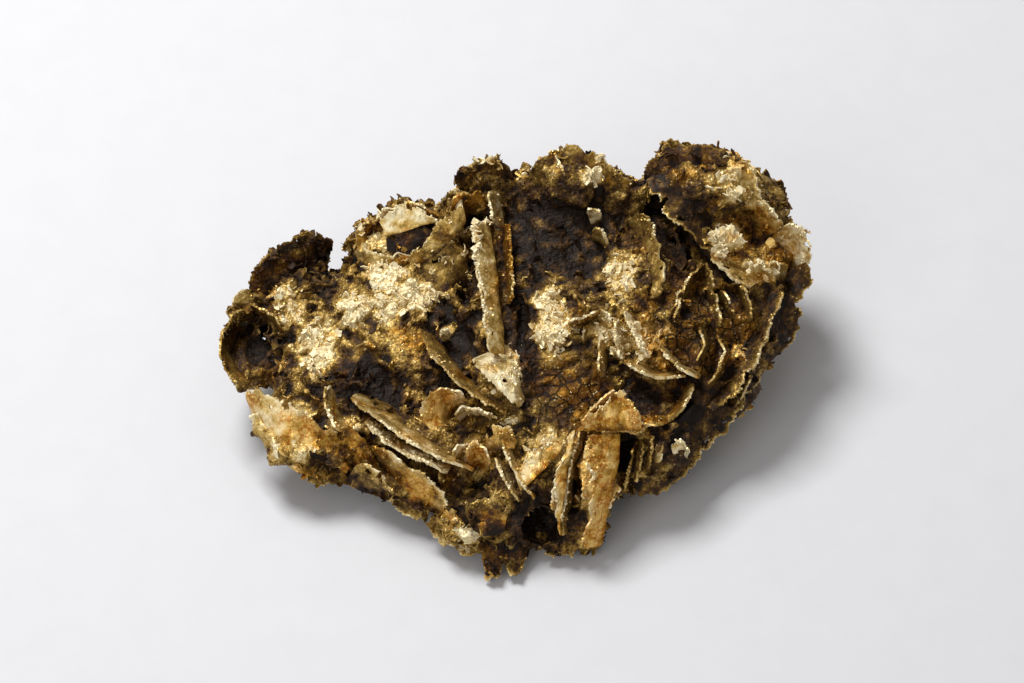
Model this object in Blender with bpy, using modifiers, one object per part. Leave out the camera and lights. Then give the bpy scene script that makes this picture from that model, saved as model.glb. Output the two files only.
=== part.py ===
"""A crystalline leaf-gold nugget: one natural mass of thin crumpled gold leaves, grown into each other.

Units are metres, +Z is up, and the origin is on the flat patch that the nugget rests on.

The nugget is laid out as it looks from in front and above. A form is placed by where it shows in that view,
as (across, down) in steps of the view and a height in millimetres above the table, which spot() turns
into a point of the frame.
"""

import math
from random import Random

import bmesh
import bpy
from mathutils import Euler, Vector, noise

MM = 0.001

# Driving dimensions
LENGTH = 60 * MM  # left tip to right tip
VIEW_ELEVATION = math.radians(50)
STEPS_ALONG_LENGTH = 597
STEP = LENGTH / STEPS_ALONG_LENGTH
MIDDLE_ACROSS = 517  # the steps at which x and y are zero on the table
MIDDLE_DOWN = 415
TO_VIEW = Vector((0, -math.cos(VIEW_ELEVATION), math.sin(VIEW_ELEVATION)))
SIGHT = 60  # the height in millimetres from which the view looks down on a form

LEAF_THICKNESS = 0.75 * MM
LEAF_CELL = 1.7 * MM  # size of a leaf's facets
LEAF_RAGGED = 0.55 * MM  # how far a leaf's free edge wanders in and out
LEAF_WAVE = 0.25 * MM
ROOT_REACH = 1.35  # a leaf is this much deeper than it shows
ROOT_SINKS = 0.5 * MM  # how far under the skin of the mass its root lies
EDGE_STANDS = 0.7  # the least height in millimetres of its free edge above the mass

MASS_VOXEL = 0.5 * MM
SHARDS = 210  # small leaves that stand out of the mass anywhere
SHARD = 1.2 * MM
FAR_SHARD = 2.4  # how much larger they are where the nugget faces away from the view
FINE_VOXEL = 0.3 * MM
ALL_FACES = 9600
SWELL = (5.5 * MM, 1.0 * MM)  # spacing and height of the mass's broad swellings
CRUMPLE = (2.4 * MM, 0.75 * MM)  # spacing and height of its sharp folds

CRYSTAL = 0.75 * MM  # half the size of a grown crystal on the crust
FINISH = {"color": (0.63, 0.43, 0.16, 1.0), "metallic": 1.0, "roughness": 0.38}

# The mass: centre, half sizes in millimetres along x, y and z, and turns in degrees about x, y and z.
LUMPS = {
    "heart": ((575, 322, 7.2), (14.0, 12.5, 7.4), (0, 0, 0)),
    "slope": ((566, 285, 11.2), (9.5, 12.5, 3.6), (14, 0, 0)),
    "right_slope": ((655, 320, 9.6), (9.0, 9.5, 4.6), (10, 6, 0)),
    "sole": ((537, 391, 4.8), (12.5, 10.5, 6.0), (0, 0, 0)),
    "middle_fill": ((520, 400, 8.2), (6.0, 5.0, 3.0), (12, 0, 0)),
    "rear_foot": ((567, 296, 3.0), (8.0, 6.0, 4.2), (0, 0, 0)),
    "back": ((560, 225, 9.5), (8.5, 6.0, 7.4), (0, 0, 0)),
    "crown": ((573, 177, 17.6), (4.0, 3.1, 3.0), (0, 0, 12)),
    "crown_left": ((537, 186, 15.6), (3.4, 2.4, 2.6), (0, 0, 0)),
    "crown_right": ((618, 192, 15.8), (3.4, 2.6, 2.8), (0, 0, -20)),
    "back_left": ((480, 226, 10.0), (4.2, 5.0, 6.5), (0, 0, 0)),
    "overhang": ((485, 178, 16.6), (2.6, 2.0, 2.4), (0, 0, 0)),
    "diagonal": ((452, 222, 12.6), (2.6, 3.0, 3.2), (0, 0, 30)),
    "back_right": ((704, 225, 11.5), (6.0, 5.5, 6.5), (0, 0, 0)),
    "crest": ((704, 184, 17.0), (5.8, 4.6, 4.4), (0, 0, 0)),
    "crest_left": ((673, 178, 17.4), (2.6, 3.0, 3.0), (0, 0, 0)),
    "crest_right": ((748, 208, 13.6), (4.6, 4.2, 4.2), (0, 20, -20)),
    "right": ((735, 285, 8.5), (7.2, 7.5, 6.2), (0, 0, 0)),
    "right_face": ((728, 318, 8.6), (6.2, 8.0, 4.4), (18, 14, 0)),
    "right_tip": ((788, 262, 9.6), (2.6, 3.2, 4.2), (0, 0, 0)),
    "right_rim": ((782, 318, 7.2), (2.4, 4.0, 2.6), (0, 0, -10)),
    "right_low": ((700, 372, 6.2), (6.5, 7.0, 4.8), (0, 0, 0)),
    "low_right": ((640, 440, 5.0), (6.0, 6.0, 4.6), (0, 0, 0)),
    "low_middle": ((555, 465, 4.6), (8.0, 6.5, 4.9), (0, 0, 0)),
    "column": ((592, 470, 5.4), (2.2, 5.4, 3.8), (20, 0, 0)),
    "toe": ((508, 518, 2.6), (5.0, 4.0, 3.2), (0, 0, 0)),
    "heel": ((570, 523, 2.4), (3.6, 3.2, 2.8), (0, 0, 0)),
    "toe_left": ((464, 516, 3.4), (3.4, 3.6, 2.0), (0, 0, 0)),
    "low_left": ((440, 447, 4.8), (6.2, 5.6, 3.4), (0, 0, 0)),
    "lower_sheet": ((404, 468, 4.0), (3.4, 4.2, 1.9), (0, 0, 30)),
    "left_middle": ((405, 345, 6.2), (8.0, 8.5, 4.2), (0, 0, 0)),
    "left_bridge": ((340, 312, 7.6), (4.4, 5.2, 3.4), (0, 0, 0)),
    "crust_bank": ((398, 292, 8.8), (5.2, 4.6, 3.6), (0, 0, 0)),
    "cup": ((396, 252, 9.4), (4.6, 3.8, 3.6), (0, 0, 0)),
    "cup_back": ((402, 222, 11.0), (4.0, 2.4, 3.2), (0, 0, 12)),
    "cup_left": ((366, 246, 10.4), (2.4, 2.6, 2.6), (0, 0, 0)),
    "left": ((325, 375, 6.8), (5.6, 6.2, 3.0), (0, 0, 0)),
    "left_lobe": ((291, 280, 8.8), (4.3, 4.6, 2.1), (0, 0, 0)),
    "lobe_neck": ((284, 320, 8.4), (3.2, 3.2, 2.2), (0, 0, 0)),
    "ring_floor": ((248, 360, 6.8), (3.0, 4.4, 1.8), (0, 0, 0)),
    "blade_bed": ((374, 424, 5.6), (4.6, 3.8, 2.4), (0, 0, -20)),
    "left_foot": ((318, 440, 5.2), (5.4, 4.2, 2.3), (0, 0, 0)),
    "apron": ((283, 424, 6.2), (3.2, 3.2, 1.8), (0, 0, 0)),
}

# Hollows cut into the mass, given the same way.
HOLLOWS = {
    "slot": ((671, 231, 15.2), (1.7, 4.8, 4.0), (0, 0, 26)),
    "cup_slot": ((410, 234, 14.0), (2.8, 1.1, 2.8), (0, 0, 27)),
    "ring": ((253, 340, 9.4), (1.9, 3.2, 2.2), (0, 0, 0)),
    "ring_hole": ((266, 333, 7.0), (0.75, 1.0, 6.0), (40, 0, 0)),
    "strut_gap": ((464, 275, 12.6), (0.9, 3.6, 3.2), (0, 0, 0)),
    "under_diagonal": ((470, 212, 15.2), (1.3, 1.2, 2.0), (0, 0, 0)),
    "under_overhang": ((465, 176, 16.6), (1.2, 1.2, 1.0), (0, 0, 0)),
    "strut_side": ((520, 340, 14.6), (0.9, 7.0, 3.0), (0, 0, -4)),
    "dark_bay": ((452, 340, 10.6), (2.4, 2.6, 1.8), (0, 0, 0)),
    "left_bay": ((395, 385, 9.0), (4.6, 2.4, 1.8), (0, 0, 0)),
    "front_cave": ((541, 522, 3.8), (2.2, 2.6, 1.9), (0, 0, 0)),
    "shelf_cave": ((626, 455, 8.2), (1.5, 2.4, 2.0), (0, 0, 0)),
    "column_side": ((572, 490, 7.0), (0.9, 3.4, 2.4), (0, 0, 0)),
    "blade_gap": ((412, 446, 8.6), (4.2, 0.7, 1.8), (0, 0, -30)),
    "lower_gap": ((430, 478, 7.2), (4.2, 0.7, 1.6), (0, 0, -34)),
    "ring_step": ((290, 388, 9.4), (3.0, 0.9, 1.4), (0, 0, -18)),
    "crest_bay": ((688, 214, 19.0), (2.4, 2.0, 1.6), (0, 0, 0)),
    "lobe_bay": ((304, 258, 11.4), (2.4, 2.0, 1.4), (0, 0, 0)),
    "fan_bay_1": ((688, 300, 14.4), (0.8, 2.6, 1.8), (0, 0, -14)),
    "fan_bay_2": ((735, 300, 14.0), (0.8, 2.2, 1.8), (0, 0, 0)),
    "flank_bay": ((772, 352, 9.6), (0.9, 3.0, 2.0), (0, 0, -26)),
}

# The leaves: points along the free edge, then as many along the edge that is rooted in the mass.
LEAVES = {
    "strut": (
        [(470, 222, 17.6), (479, 290, 15.9), (487, 352, 14.0)],
        [(489, 222, 15.6), (497, 290, 14.0), (502, 356, 11.6)],
    ),
    "strut_face": (
        [(470, 222, 17.8), (479, 290, 16.1), (487, 352, 14.2)],
        [(489, 222, 16.6), (498, 290, 14.8), (505, 354, 12.8)],
    ),
    "strut_foot": (
        [(467, 362, 13.2), (482, 374, 13.2), (499, 391, 12.8), (517, 410, 12.2)],
        [(484, 356, 12.2), (505, 345, 12.2), (521, 352, 11.2), (525, 398, 10.6)],
    ),
    "thin_blade": (
        [(421, 343, 11.6), (441, 368, 11.2), (463, 387, 11.0), (484, 403, 11.0), (503, 414, 11.0)],
        [(429, 332, 9.0), (449, 355, 9.0), (470, 379, 9.0), (488, 397, 9.4), (507, 411, 10.0)],
    ),
    "long_blade": (
        [(349, 400, 10.2), (379, 419, 10.4), (410, 440, 10.0), (440, 457, 9.2), (472, 471, 8.4)],
        [(362, 390, 8.0), (390, 407, 8.0), (421, 430, 7.6), (448, 447, 7.0), (478, 463, 6.0)],
    ),
    "second_blade": (
        [(364, 423, 9.4), (384, 439, 9.4), (406, 453, 9.0), (424, 462, 8.8), (446, 475, 8.0)],
        [(372, 416, 7.6), (392, 431, 7.0), (413, 445, 7.0), (432, 453, 6.8), (454, 462, 6.4)],
    ),
    "broad_sheet": (
        [
            (373, 437, 9.0), (402, 456, 8.8), (425, 470, 8.2),
            (441, 481, 7.2), (452, 500, 5.8), (459, 518, 4.2),
        ],
        [
            (377, 460, 5.6), (391, 476, 5.0), (405, 493, 4.4),
            (420, 502, 3.6), (438, 507, 3.0), (450, 522, 2.2),
        ],
    ),
    "apron": (
        [(243, 387, 9.2), (262, 389, 9.6), (290, 398, 9.4), (318, 416, 8.8)],
        [(254, 417, 5.6), (272, 438, 5.0), (297, 452, 4.6), (343, 468, 4.0)],
    ),
    "apron_right": (
        [(318, 424, 8.8), (345, 424, 8.6), (368, 434, 8.0)],
        [(322, 456, 4.6), (350, 468, 3.8), (384, 482, 3.2)],
    ),
    "ring_rim": (
        [
            (246, 305, 12.0), (230, 314, 11.5), (221, 333, 10.6),
            (219, 354, 10.0), (227, 377, 9.2), (243, 389, 9.2),
        ],
        [
            (253, 315, 7.4), (240, 324, 7.0), (232, 339, 6.6),
            (231, 354, 6.4), (238, 370, 6.2), (252, 380, 6.6),
        ],
    ),
    "ring_wall": (
        [(246, 303, 12.0), (262, 308, 12.0), (276, 316, 11.6), (284, 330, 10.8)],
        [(252, 316, 7.6), (264, 320, 7.6), (274, 326, 7.8), (280, 336, 7.8)],
    ),
    "left_lobe_rim": (
        [(240, 290, 11.0), (254, 263, 12.2), (277, 240, 13.2), (305, 228, 13.6), (333, 235, 13.0)],
        [(262, 297, 7.2), (274, 284, 7.4), (294, 271, 7.6), (312, 262, 8.0), (325, 254, 8.6)],
    ),
    "left_lobe_side": (
        [(222, 318, 10.8), (229, 300, 11.2), (243, 284, 11.4)],
        [(250, 318, 7.6), (258, 306, 7.4), (266, 296, 7.4)],
    ),
    "flap_face": (
        [(374, 214, 14.4), (388, 204, 15.4), (404, 198, 16.0), (422, 206, 16.0), (438, 216, 15.6)],
        [(386, 235, 13.2), (398, 232, 13.6), (408, 229, 14.0), (422, 224, 14.6), (436, 221, 15.0)],
    ),
    "cup_flap": (
        [(374, 214, 14.0), (389, 204, 15.0), (404, 199, 15.6), (423, 206, 15.8), (438, 214, 15.6)],
        [(382, 224, 13.6), (393, 219, 14.2), (406, 216, 14.8), (424, 214, 15.2), (436, 216, 15.2)],
    ),
    "cup_crust": (
        [(349, 248, 11.6), (353, 232, 12.8), (362, 222, 13.8), (376, 214, 14.2)],
        [(366, 254, 9.6), (370, 240, 10.6), (376, 232, 11.6), (386, 226, 12.6)],
    ),
    "cup_lip": (
        [(350, 244, 12.2), (370, 250, 12.2), (390, 252, 12.4), (414, 248, 12.8), (432, 234, 13.4)],
        [(358, 266, 8.0), (378, 270, 8.0), (400, 268, 8.0), (422, 260, 8.6), (438, 247, 9.4)],
    ),
    "diagonal_face": (
        [(462, 200, 17.8), (447, 213, 16.6), (427, 233, 15.0), (406, 255, 13.2)],
        [(466, 221, 16.0), (455, 235, 15.0), (438, 252, 13.4), (416, 267, 12.0)],
    ),
    "diagonal_sheet": (
        [(463, 191, 17.4), (463, 212, 16.4), (450, 227, 15.2), (431, 241, 13.8), (412, 249, 12.6)],
        [(452, 204, 13.6), (444, 217, 13.0), (436, 231, 12.0), (426, 243, 11.0), (412, 252, 10.0)],
    ),
    "veil": (
        [(414, 250, 12.8), (436, 243, 13.8), (462, 232, 15.2)],
        [(432, 300, 8.6), (450, 292, 8.8), (470, 284, 9.0)],
    ),
    "overhang": (
        [(450, 177, 18.6), (457, 166, 19.6), (474, 158, 20.0), (490, 155, 20.2), (506, 159, 20.0)],
        [(468, 196, 14.0), (476, 190, 14.4), (488, 187, 14.8), (502, 186, 15.0), (516, 184, 15.2)],
    ),
    "under_overhang": (
        [(447, 204, 16.6), (462, 193, 17.6), (480, 187, 18.0)],
        [(456, 222, 12.0), (470, 216, 12.4), (486, 208, 13.0)],
    ),
    "flake_column": (
        [(487, 188, 19.0), (490, 205, 18.2), (493, 224, 17.0)],
        [(503, 192, 14.4), (504, 208, 13.8), (506, 228, 13.0)],
    ),
    "crown_left": (
        [(527, 164, 19.6), (541, 157, 20.6), (556, 148, 21.2), (572, 142, 21.6), (585, 144, 21.6)],
        [(536, 186, 15.6), (548, 182, 16.0), (562, 178, 16.2), (576, 176, 16.4), (590, 174, 16.4)],
    ),
    "crown_right": (
        [(585, 144, 21.6), (600, 154, 21.0), (617, 167, 20.0), (634, 175, 19.2)],
        [(582, 178, 15.0), (594, 186, 14.6), (608, 194, 14.2), (626, 198, 14.0)],
    ),
    "crown_hook": (
        [(529, 163, 19.4), (541, 156, 20.4), (553, 152, 20.8), (561, 166, 19.6)],
        [(546, 178, 16.4), (553, 176, 16.6), (560, 176, 16.8), (566, 178, 16.6)],
    ),
    "crown_chip": (
        [(584, 166, 20.2), (594, 163, 20.4), (604, 170, 19.8)],
        [(588, 190, 16.4), (596, 189, 16.4), (604, 188, 16.4)],
    ),
    "upper_chip": (
        [(585, 206, 18.8), (594, 205, 18.8), (602, 210, 18.2)],
        [(592, 224, 14.8), (597, 223, 14.8), (602, 220, 14.8)],
    ),
    "lower_chip": (
        [(592, 226, 18.0), (602, 230, 17.6), (610, 240, 16.8)],
        [(593, 240, 14.4), (600, 243, 14.2), (606, 247, 13.8)],
    ),
    "ledge": (
        [(510, 222, 17.2), (511, 250, 16.6), (513, 278, 15.8), (512, 304, 15.0)],
        [(502, 226, 13.2), (503, 252, 12.8), (505, 280, 12.2), (505, 304, 11.6)],
    ),
    "crest_hook": (
        [(659, 142, 21.6), (667, 138, 22.0), (679, 137, 22.0), (688, 144, 21.6)],
        [(662, 160, 19.0), (668, 160, 19.0), (676, 158, 19.2), (684, 158, 19.2)],
    ),
    "slot_sheet": (
        [
            (639, 186, 19.4), (652, 197, 18.9), (660, 207, 18.4),
            (669, 216, 18.0), (682, 230, 17.3), (700, 252, 16.0),
        ],
        [
            (660, 170, 17.2), (674, 180, 16.8), (686, 190, 16.4),
            (697, 200, 16.0), (710, 218, 15.4), (722, 238, 14.6),
        ],
    ),
    "slot_wall": (
        [(641, 207, 17.4), (656, 224, 16.8), (661, 246, 16.2), (666, 272, 15.8), (660, 297, 15.4)],
        [(629, 222, 14.6), (639, 243, 14.4), (645, 262, 14.4), (648, 280, 14.2), (648, 300, 14.0)],
    ),
    "crest": (
        [
            (641, 173, 19.6), (652, 156, 20.8), (664, 143, 21.6),
            (684, 141, 22.0), (710, 141, 22.0), (744, 151, 21.2),
        ],
        [
            (654, 190, 15.0), (667, 176, 15.2), (680, 168, 15.4),
            (697, 166, 15.6), (715, 168, 15.6), (732, 176, 15.2),
        ],
    ),
    "crest_side": (
        [(744, 151, 21.2), (757, 173, 19.8), (764, 191, 18.8), (776, 211, 17.8), (790, 222, 17.0)],
        [(728, 178, 15.4), (738, 194, 14.6), (745, 208, 13.8), (754, 222, 13.0), (768, 236, 12.2)],
    ),
    "pale_sheet": (
        [(788, 221, 17.2), (803, 226, 16.6), (811, 242, 15.6), (815, 259, 14.6)],
        [(776, 240, 11.6), (786, 250, 10.8), (793, 262, 10.2), (797, 274, 9.6)],
    ),
    "flank_outer": (
        [
            (815, 259, 14.6), (812, 284, 12.2), (803, 304, 10.2),
            (807, 322, 8.8), (796, 343, 7.6), (779, 358, 6.8),
        ],
        [
            (792, 268, 8.0), (788, 288, 6.4), (782, 306, 5.4),
            (778, 322, 4.8), (770, 338, 4.2), (756, 352, 3.8),
        ],
    ),
    "flank_ridge": (
        [
            (788, 280, 13.8), (781, 300, 13.4), (768, 331, 12.4),
            (756, 361, 11.2), (738, 388, 9.8), (716, 414, 8.4),
        ],
        [
            (770, 290, 7.0), (764, 308, 6.6), (752, 334, 6.0),
            (740, 358, 5.4), (722, 382, 4.8), (702, 404, 4.2),
        ],
    ),
    "flank_lower": (
        [
            (779, 358, 6.8), (762, 380, 6.4), (746, 402, 6.0), (730, 427, 5.4),
            (700, 461, 4.6), (666, 491, 3.6), (640, 503, 3.0),
        ],
        [
            (756, 344, 8.4), (740, 366, 8.2), (724, 386, 7.8), (706, 404, 7.2),
            (680, 432, 6.4), (650, 460, 5.6), (630, 474, 5.0),
        ],
    ),
    "fan_ridge": (
        [(706, 256, 15.8), (718, 268, 15.8), (732, 280, 15.4), (746, 290, 14.8)],
        [(722, 250, 12.0), (735, 260, 12.0), (750, 270, 11.6), (762, 280, 11.0)],
    ),
    "fan_1": (
        [(702, 262, 15.6), (686, 277, 15.4), (674, 296, 15.0), (662, 318, 14.2)],
        [(708, 268, 9.4), (694, 284, 9.2), (682, 302, 9.0), (672, 322, 8.6)],
    ),
    "fan_2": (
        [(707, 262, 15.8), (714, 285, 15.2), (719, 306, 14.4), (722, 326, 13.6)],
        [(700, 266, 10.0), (706, 288, 9.6), (711, 308, 9.2), (714, 328, 8.8)],
    ),
    "fan_3": (
        [(740, 284, 15.2), (748, 300, 14.6), (753, 320, 13.8)],
        [(733, 288, 9.8), (741, 304, 9.4), (746, 322, 8.8)],
    ),
    "fan_4": (
        [(697, 328, 13.8), (702, 344, 13.2), (692, 362, 12.6)],
        [(704, 328, 8.4), (708, 345, 8.0), (699, 364, 7.6)],
    ),
    "fan_5": (
        [(684, 278, 15.4), (678, 298, 15.0), (671, 322, 14.2)],
        [(690, 282, 9.6), (684, 302, 9.4), (678, 324, 9.0)],
    ),
    "fan_6": (
        [(722, 290, 15.0), (730, 302, 14.4), (737, 317, 13.6)],
        [(716, 294, 9.6), (723, 306, 9.2), (730, 320, 8.8)],
    ),
    "fan_7": (
        [(713, 336, 13.2), (723, 351, 12.6), (714, 372, 11.6), (704, 386, 11.0)],
        [(720, 334, 7.8), (730, 352, 7.4), (721, 374, 7.0), (710, 388, 6.8)],
    ),
    "flank_fold": (
        [(760, 362, 9.6), (748, 386, 8.8), (733, 410, 7.8)],
        [(750, 358, 5.4), (738, 381, 5.0), (724, 404, 4.6)],
    ),
    "gold_patch": (
        [(742, 268, 15.6), (758, 258, 15.8), (776, 254, 15.4), (790, 262, 14.4)],
        [(752, 288, 11.6), (764, 284, 11.4), (774, 280, 11.2), (786, 278, 10.6)],
    ),
    "cross_1": (
        [(650, 344, 13.6), (664, 358, 13.2), (678, 369, 12.8), (696, 380, 12.2)],
        [(655, 340, 8.6), (669, 353, 8.4), (683, 364, 8.2), (700, 374, 8.0)],
    ),
    "cross_2": (
        [(694, 384, 11.6), (683, 402, 10.6), (668, 423, 9.4)],
        [(686, 382, 7.2), (675, 400, 6.6), (661, 420, 6.0)],
    ),
    "cross_3": (
        [(621, 364, 13.4), (636, 371, 12.8), (656, 379, 12.4), (684, 377, 12.0)],
        [(627, 358, 8.8), (641, 365, 8.6), (658, 373, 8.4), (683, 371, 8.2)],
    ),
    "cream_blade": (
        [(619, 311, 15.0), (627, 326, 14.6), (636, 343, 14.0), (646, 358, 13.2)],
        [(630, 312, 10.6), (638, 328, 10.4), (645, 343, 10.0), (652, 356, 9.6)],
    ),
    "plate": (
        [(416, 411, 9.8), (426, 396, 10.8), (440, 386, 11.2), (456, 385, 11.2), (468, 396, 10.6)],
        [(438, 436, 6.4), (444, 426, 6.8), (450, 417, 7.2), (456, 410, 7.4), (463, 405, 7.6)],
    ),
    "bright_curl": (
        [(455, 413, 10.8), (463, 405, 11.2), (479, 406, 11.2), (496, 415, 10.6)],
        [(460, 420, 6.4), (468, 414, 6.4), (482, 415, 6.4), (498, 421, 6.4)],
    ),
    "small_plate": (
        [(465, 449, 9.2), (474, 439, 9.8), (484, 441, 9.8), (492, 456, 9.2)],
        [(472, 471, 6.0), (478, 469, 6.0), (484, 469, 6.0), (489, 470, 6.0)],
    ),
    "twin_left": (
        [(493, 456, 9.6), (500, 469, 9.2), (508, 484, 8.4), (517, 500, 7.4)],
        [(499, 455, 4.6), (506, 467, 4.4), (514, 481, 4.0), (522, 495, 3.6)],
    ),
    "twin_right": (
        [(500, 438, 10.2), (508, 458, 9.6), (517, 478, 8.8), (530, 498, 7.6)],
        [(507, 437, 5.2), (515, 456, 4.8), (524, 475, 4.4), (536, 493, 4.0)],
    ),
    "notched_plate": (
        [(512, 462, 9.2), (526, 450, 9.8), (540, 446, 10.0), (550, 433, 10.6), (562, 434, 10.6)],
        [(524, 483, 5.6), (533, 474, 6.0), (545, 466, 6.2), (553, 457, 6.4), (560, 450, 6.6)],
    ),
    "front_blade": (
        [(576, 428, 11.2), (570, 451, 10.0), (565, 476, 8.6), (561, 502, 6.8), (559, 532, 4.4)],
        [(585, 430, 6.4), (579, 453, 5.6), (574, 478, 4.6), (570, 503, 3.2), (567, 530, 1.6)],
    ),
    "front_spur": (
        [(544, 500, 6.8), (551, 492, 7.4), (560, 484, 8.2)],
        [(562, 514, 4.6), (565, 506, 5.0), (568, 498, 5.2)],
    ),
    "orange_plate": (
        [(583, 413, 11.8), (597, 400, 12.6), (610, 389, 13.2), (619, 385, 13.4), (628, 400, 12.4)],
        [(588, 424, 8.4), (598, 422, 8.6), (608, 420, 8.8), (617, 418, 8.8), (628, 418, 8.6)],
    ),
    "shelf": (
        [(575, 419, 11.0), (600, 432, 10.4), (632, 433, 10.4), (650, 427, 10.6), (667, 424, 10.6)],
        [(586, 410, 9.6), (605, 414, 9.6), (630, 412, 9.6), (648, 412, 9.6), (662, 414, 9.2)],
    ),
    "column": (
        [(577, 434, 11.2), (585, 464, 9.6), (587, 494, 7.8), (584, 520, 5.6), (576, 545, 3.2)],
        [(618, 432, 10.2), (616, 460, 8.8), (609, 490, 6.6), (605, 517, 4.4), (599, 541, 2.4)],
    ),
    "column_leaf": (
        [(622, 485, 6.8), (617, 497, 6.0), (606, 515, 4.4)],
        [(608, 478, 4.4), (603, 493, 3.8), (596, 510, 2.8)],
    ),
    "shelf_prop_1": (
        [(642, 438, 9.0), (639, 462, 7.6), (635, 495, 5.0)],
        [(632, 440, 5.0), (630, 462, 4.4), (628, 490, 3.0)],
    ),
    "shelf_prop_2": (
        [(670, 433, 9.4), (663, 447, 8.6), (655, 462, 7.6)],
        [(662, 432, 5.4), (656, 444, 5.0), (650, 458, 4.6)],
    ),
    "glint_plate": (
        [(666, 438, 9.2), (680, 437, 9.2), (688, 448, 8.4)],
        [(672, 456, 6.0), (680, 457, 5.8), (684, 458, 5.6)],
    ),
    "left_stem": (
        [(322, 386, 10.4), (326, 404, 10.0), (332, 420, 9.6), (341, 432, 9.0)],
        [(334, 387, 6.4), (338, 403, 6.2), (343, 417, 6.0), (350, 428, 5.8)],
    ),
    "fringe_left": (
        [(268, 444, 3.8), (284, 458, 3.4), (300, 469, 3.0), (312, 483, 2.4), (336, 488, 2.0)],
        [(280, 434, 5.0), (296, 446, 4.8), (312, 456, 4.6), (326, 464, 4.4), (345, 470, 4.2)],
    ),
    "fringe_middle": (
        [(350, 488, 2.2), (372, 490, 2.2), (394, 502, 2.4), (402, 517, 1.8), (428, 518, 1.8)],
        [(356, 476, 4.4), (376, 480, 4.2), (398, 488, 4.0), (414, 496, 4.0), (432, 500, 4.0)],
    ),
    "fringe_toe": (
        [(428, 522, 2.2), (432, 537, 1.6), (447, 545, 1.2), (463, 554, 0.9), (481, 556, 0.9)],
        [(446, 508, 4.2), (456, 514, 3.8), (466, 521, 3.4), (476, 526, 3.0), (486, 530, 2.6)],
    ),
    "toe_tip": (
        [(482, 557, 1.4), (487, 575, 0.8), (498, 575, 0.8), (503, 560, 1.4)],
        [(482, 536, 2.6), (489, 536, 2.6), (497, 536, 2.6), (504, 536, 2.6)],
    ),
    "toe_knob": (
        [(503, 562, 1.4), (511, 572, 0.9), (521, 569, 0.9), (527, 553, 1.4)],
        [(504, 540, 2.4), (511, 540, 2.4), (519, 539, 2.4), (526, 537, 2.4)],
    ),
    "heel_edge": (
        [(530, 549, 1.6), (545, 554, 1.2), (562, 556, 1.0), (580, 552, 1.0), (598, 545, 1.2)],
        [(536, 528, 3.0), (550, 530, 2.8), (564, 531, 2.6), (578, 530, 2.6), (590, 526, 2.8)],
    ),
    "hatch_upright": (
        [(596, 340, 14.4), (598, 358, 13.8), (597, 377, 12.8)],
        [(604, 340, 13.0), (606, 358, 12.4), (604, 376, 11.6)],
    ),
    "hatch_level": (
        [(566, 322, 15.6), (580, 317, 15.6), (598, 309, 15.6)],
        [(570, 329, 13.0), (584, 324, 13.0), (601, 317, 13.0)],
    ),
    "hatch_strand": (
        [(611, 320, 15.2), (613, 340, 14.6), (618, 360, 13.8)],
        [(619, 319, 13.6), (621, 339, 13.0), (626, 357, 12.2)],
    ),
    "cream_triangle": (
        [(599, 306, 15.8), (604, 312, 15.6), (610, 322, 15.2)],
        [(597, 318, 13.8), (600, 322, 13.6), (604, 325, 13.4)],
    ),
    "lower_sheet": (
        [(362, 458, 7.0), (376, 466, 6.8), (388, 477, 6.2), (398, 490, 5.2)],
        [(351, 474, 4.2), (364, 483, 3.8), (378, 489, 3.4), (391, 496, 3.0)],
    ),
    "ear": (
        [(452, 450, 9.6), (459, 442, 9.8), (468, 440, 9.6)],
        [(459, 459, 6.8), (464, 456, 6.8), (469, 450, 6.8)],
    ),
    "orange_face": (
        [
            (578, 418, 12.2), (592, 407, 12.9), (606, 396, 13.5),
            (620, 386, 14.0), (630, 400, 13.2), (640, 417, 12.0),
        ],
        [
            (582, 427, 10.8), (594, 428, 11.0), (606, 429, 11.0),
            (618, 429, 11.0), (628, 428, 11.0), (638, 427, 10.8),
        ],
    ),
    "prop_short": (
        [(653, 434, 9.6), (651, 450, 8.6), (648, 468, 7.6)],
        [(645, 434, 5.4), (644, 450, 5.0), (642, 466, 4.6)],
    ),
    "prop_long": (
        [(630, 440, 9.4), (626, 464, 7.8), (622, 494, 5.6)],
        [(637, 440, 5.4), (633, 462, 4.8), (629, 490, 3.6)],
    ),
}

# The outward halves of folded leaves: their second edge is at the given height, and not in the mass.
FOLDED_FACES = ("strut_face", "flap_face", "diagonal_face", "orange_face", "column")

# Leaves on the far side and beneath: bearing from the origin in degrees, distance from it to the root and to
# the free edge in millimetres, height of each, and width. Bearing 0 is the right, and 90 the back.
FAR_LEAVES = {
    "far_1": (32, (21, 27.0), (9.0, 7.0), 9),
    "far_2": (48, (18, 23.5), (12.0, 14.5), 8),
    "far_3": (60, (16, 21.0), (9.0, 6.5), 9),
    "far_4": (76, (14, 19.5), (13.0, 16.0), 8),
    "far_5": (90, (13, 18.5), (8.0, 6.0), 10),
    "far_6": (104, (14, 19.5), (12.0, 14.5), 8),
    "far_7": (118, (15, 20.0), (7.0, 5.0), 9),
    "far_8": (134, (17, 22.5), (9.5, 11.5), 8),
    "far_9": (150, (19, 25.5), (7.0, 5.5), 8),
    "low_1": (15, (18, 24.0), (4.0, 2.4), 9),
    "low_2": (68, (9, 14.5), (3.6, 1.6), 9),
    "low_3": (122, (9, 14.5), (3.4, 1.4), 9),
    "low_4": (172, (17, 23.5), (4.6, 3.4), 8),
}

# Patches where the gold has grown into coarse crystals: centre, and half sizes in steps of the view.
CRUSTS = {
    "left_crust": ((398, 285), (34, 26), 22),
    "left_crust_low": ((392, 322), (38, 16), 14),
    "ring_crust": ((318, 350), (20, 30), 14),
    "middle_crust": ((555, 292), (20, 24), 12),
    "right_crust": ((622, 276), (18, 28), 12),
    "fan_crust": ((729, 238), (16, 11), 8),
    "toe_crust": ((468, 533), (15, 11), 8),
    "crest_crust": ((738, 185), (14, 26), 10),
}


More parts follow.
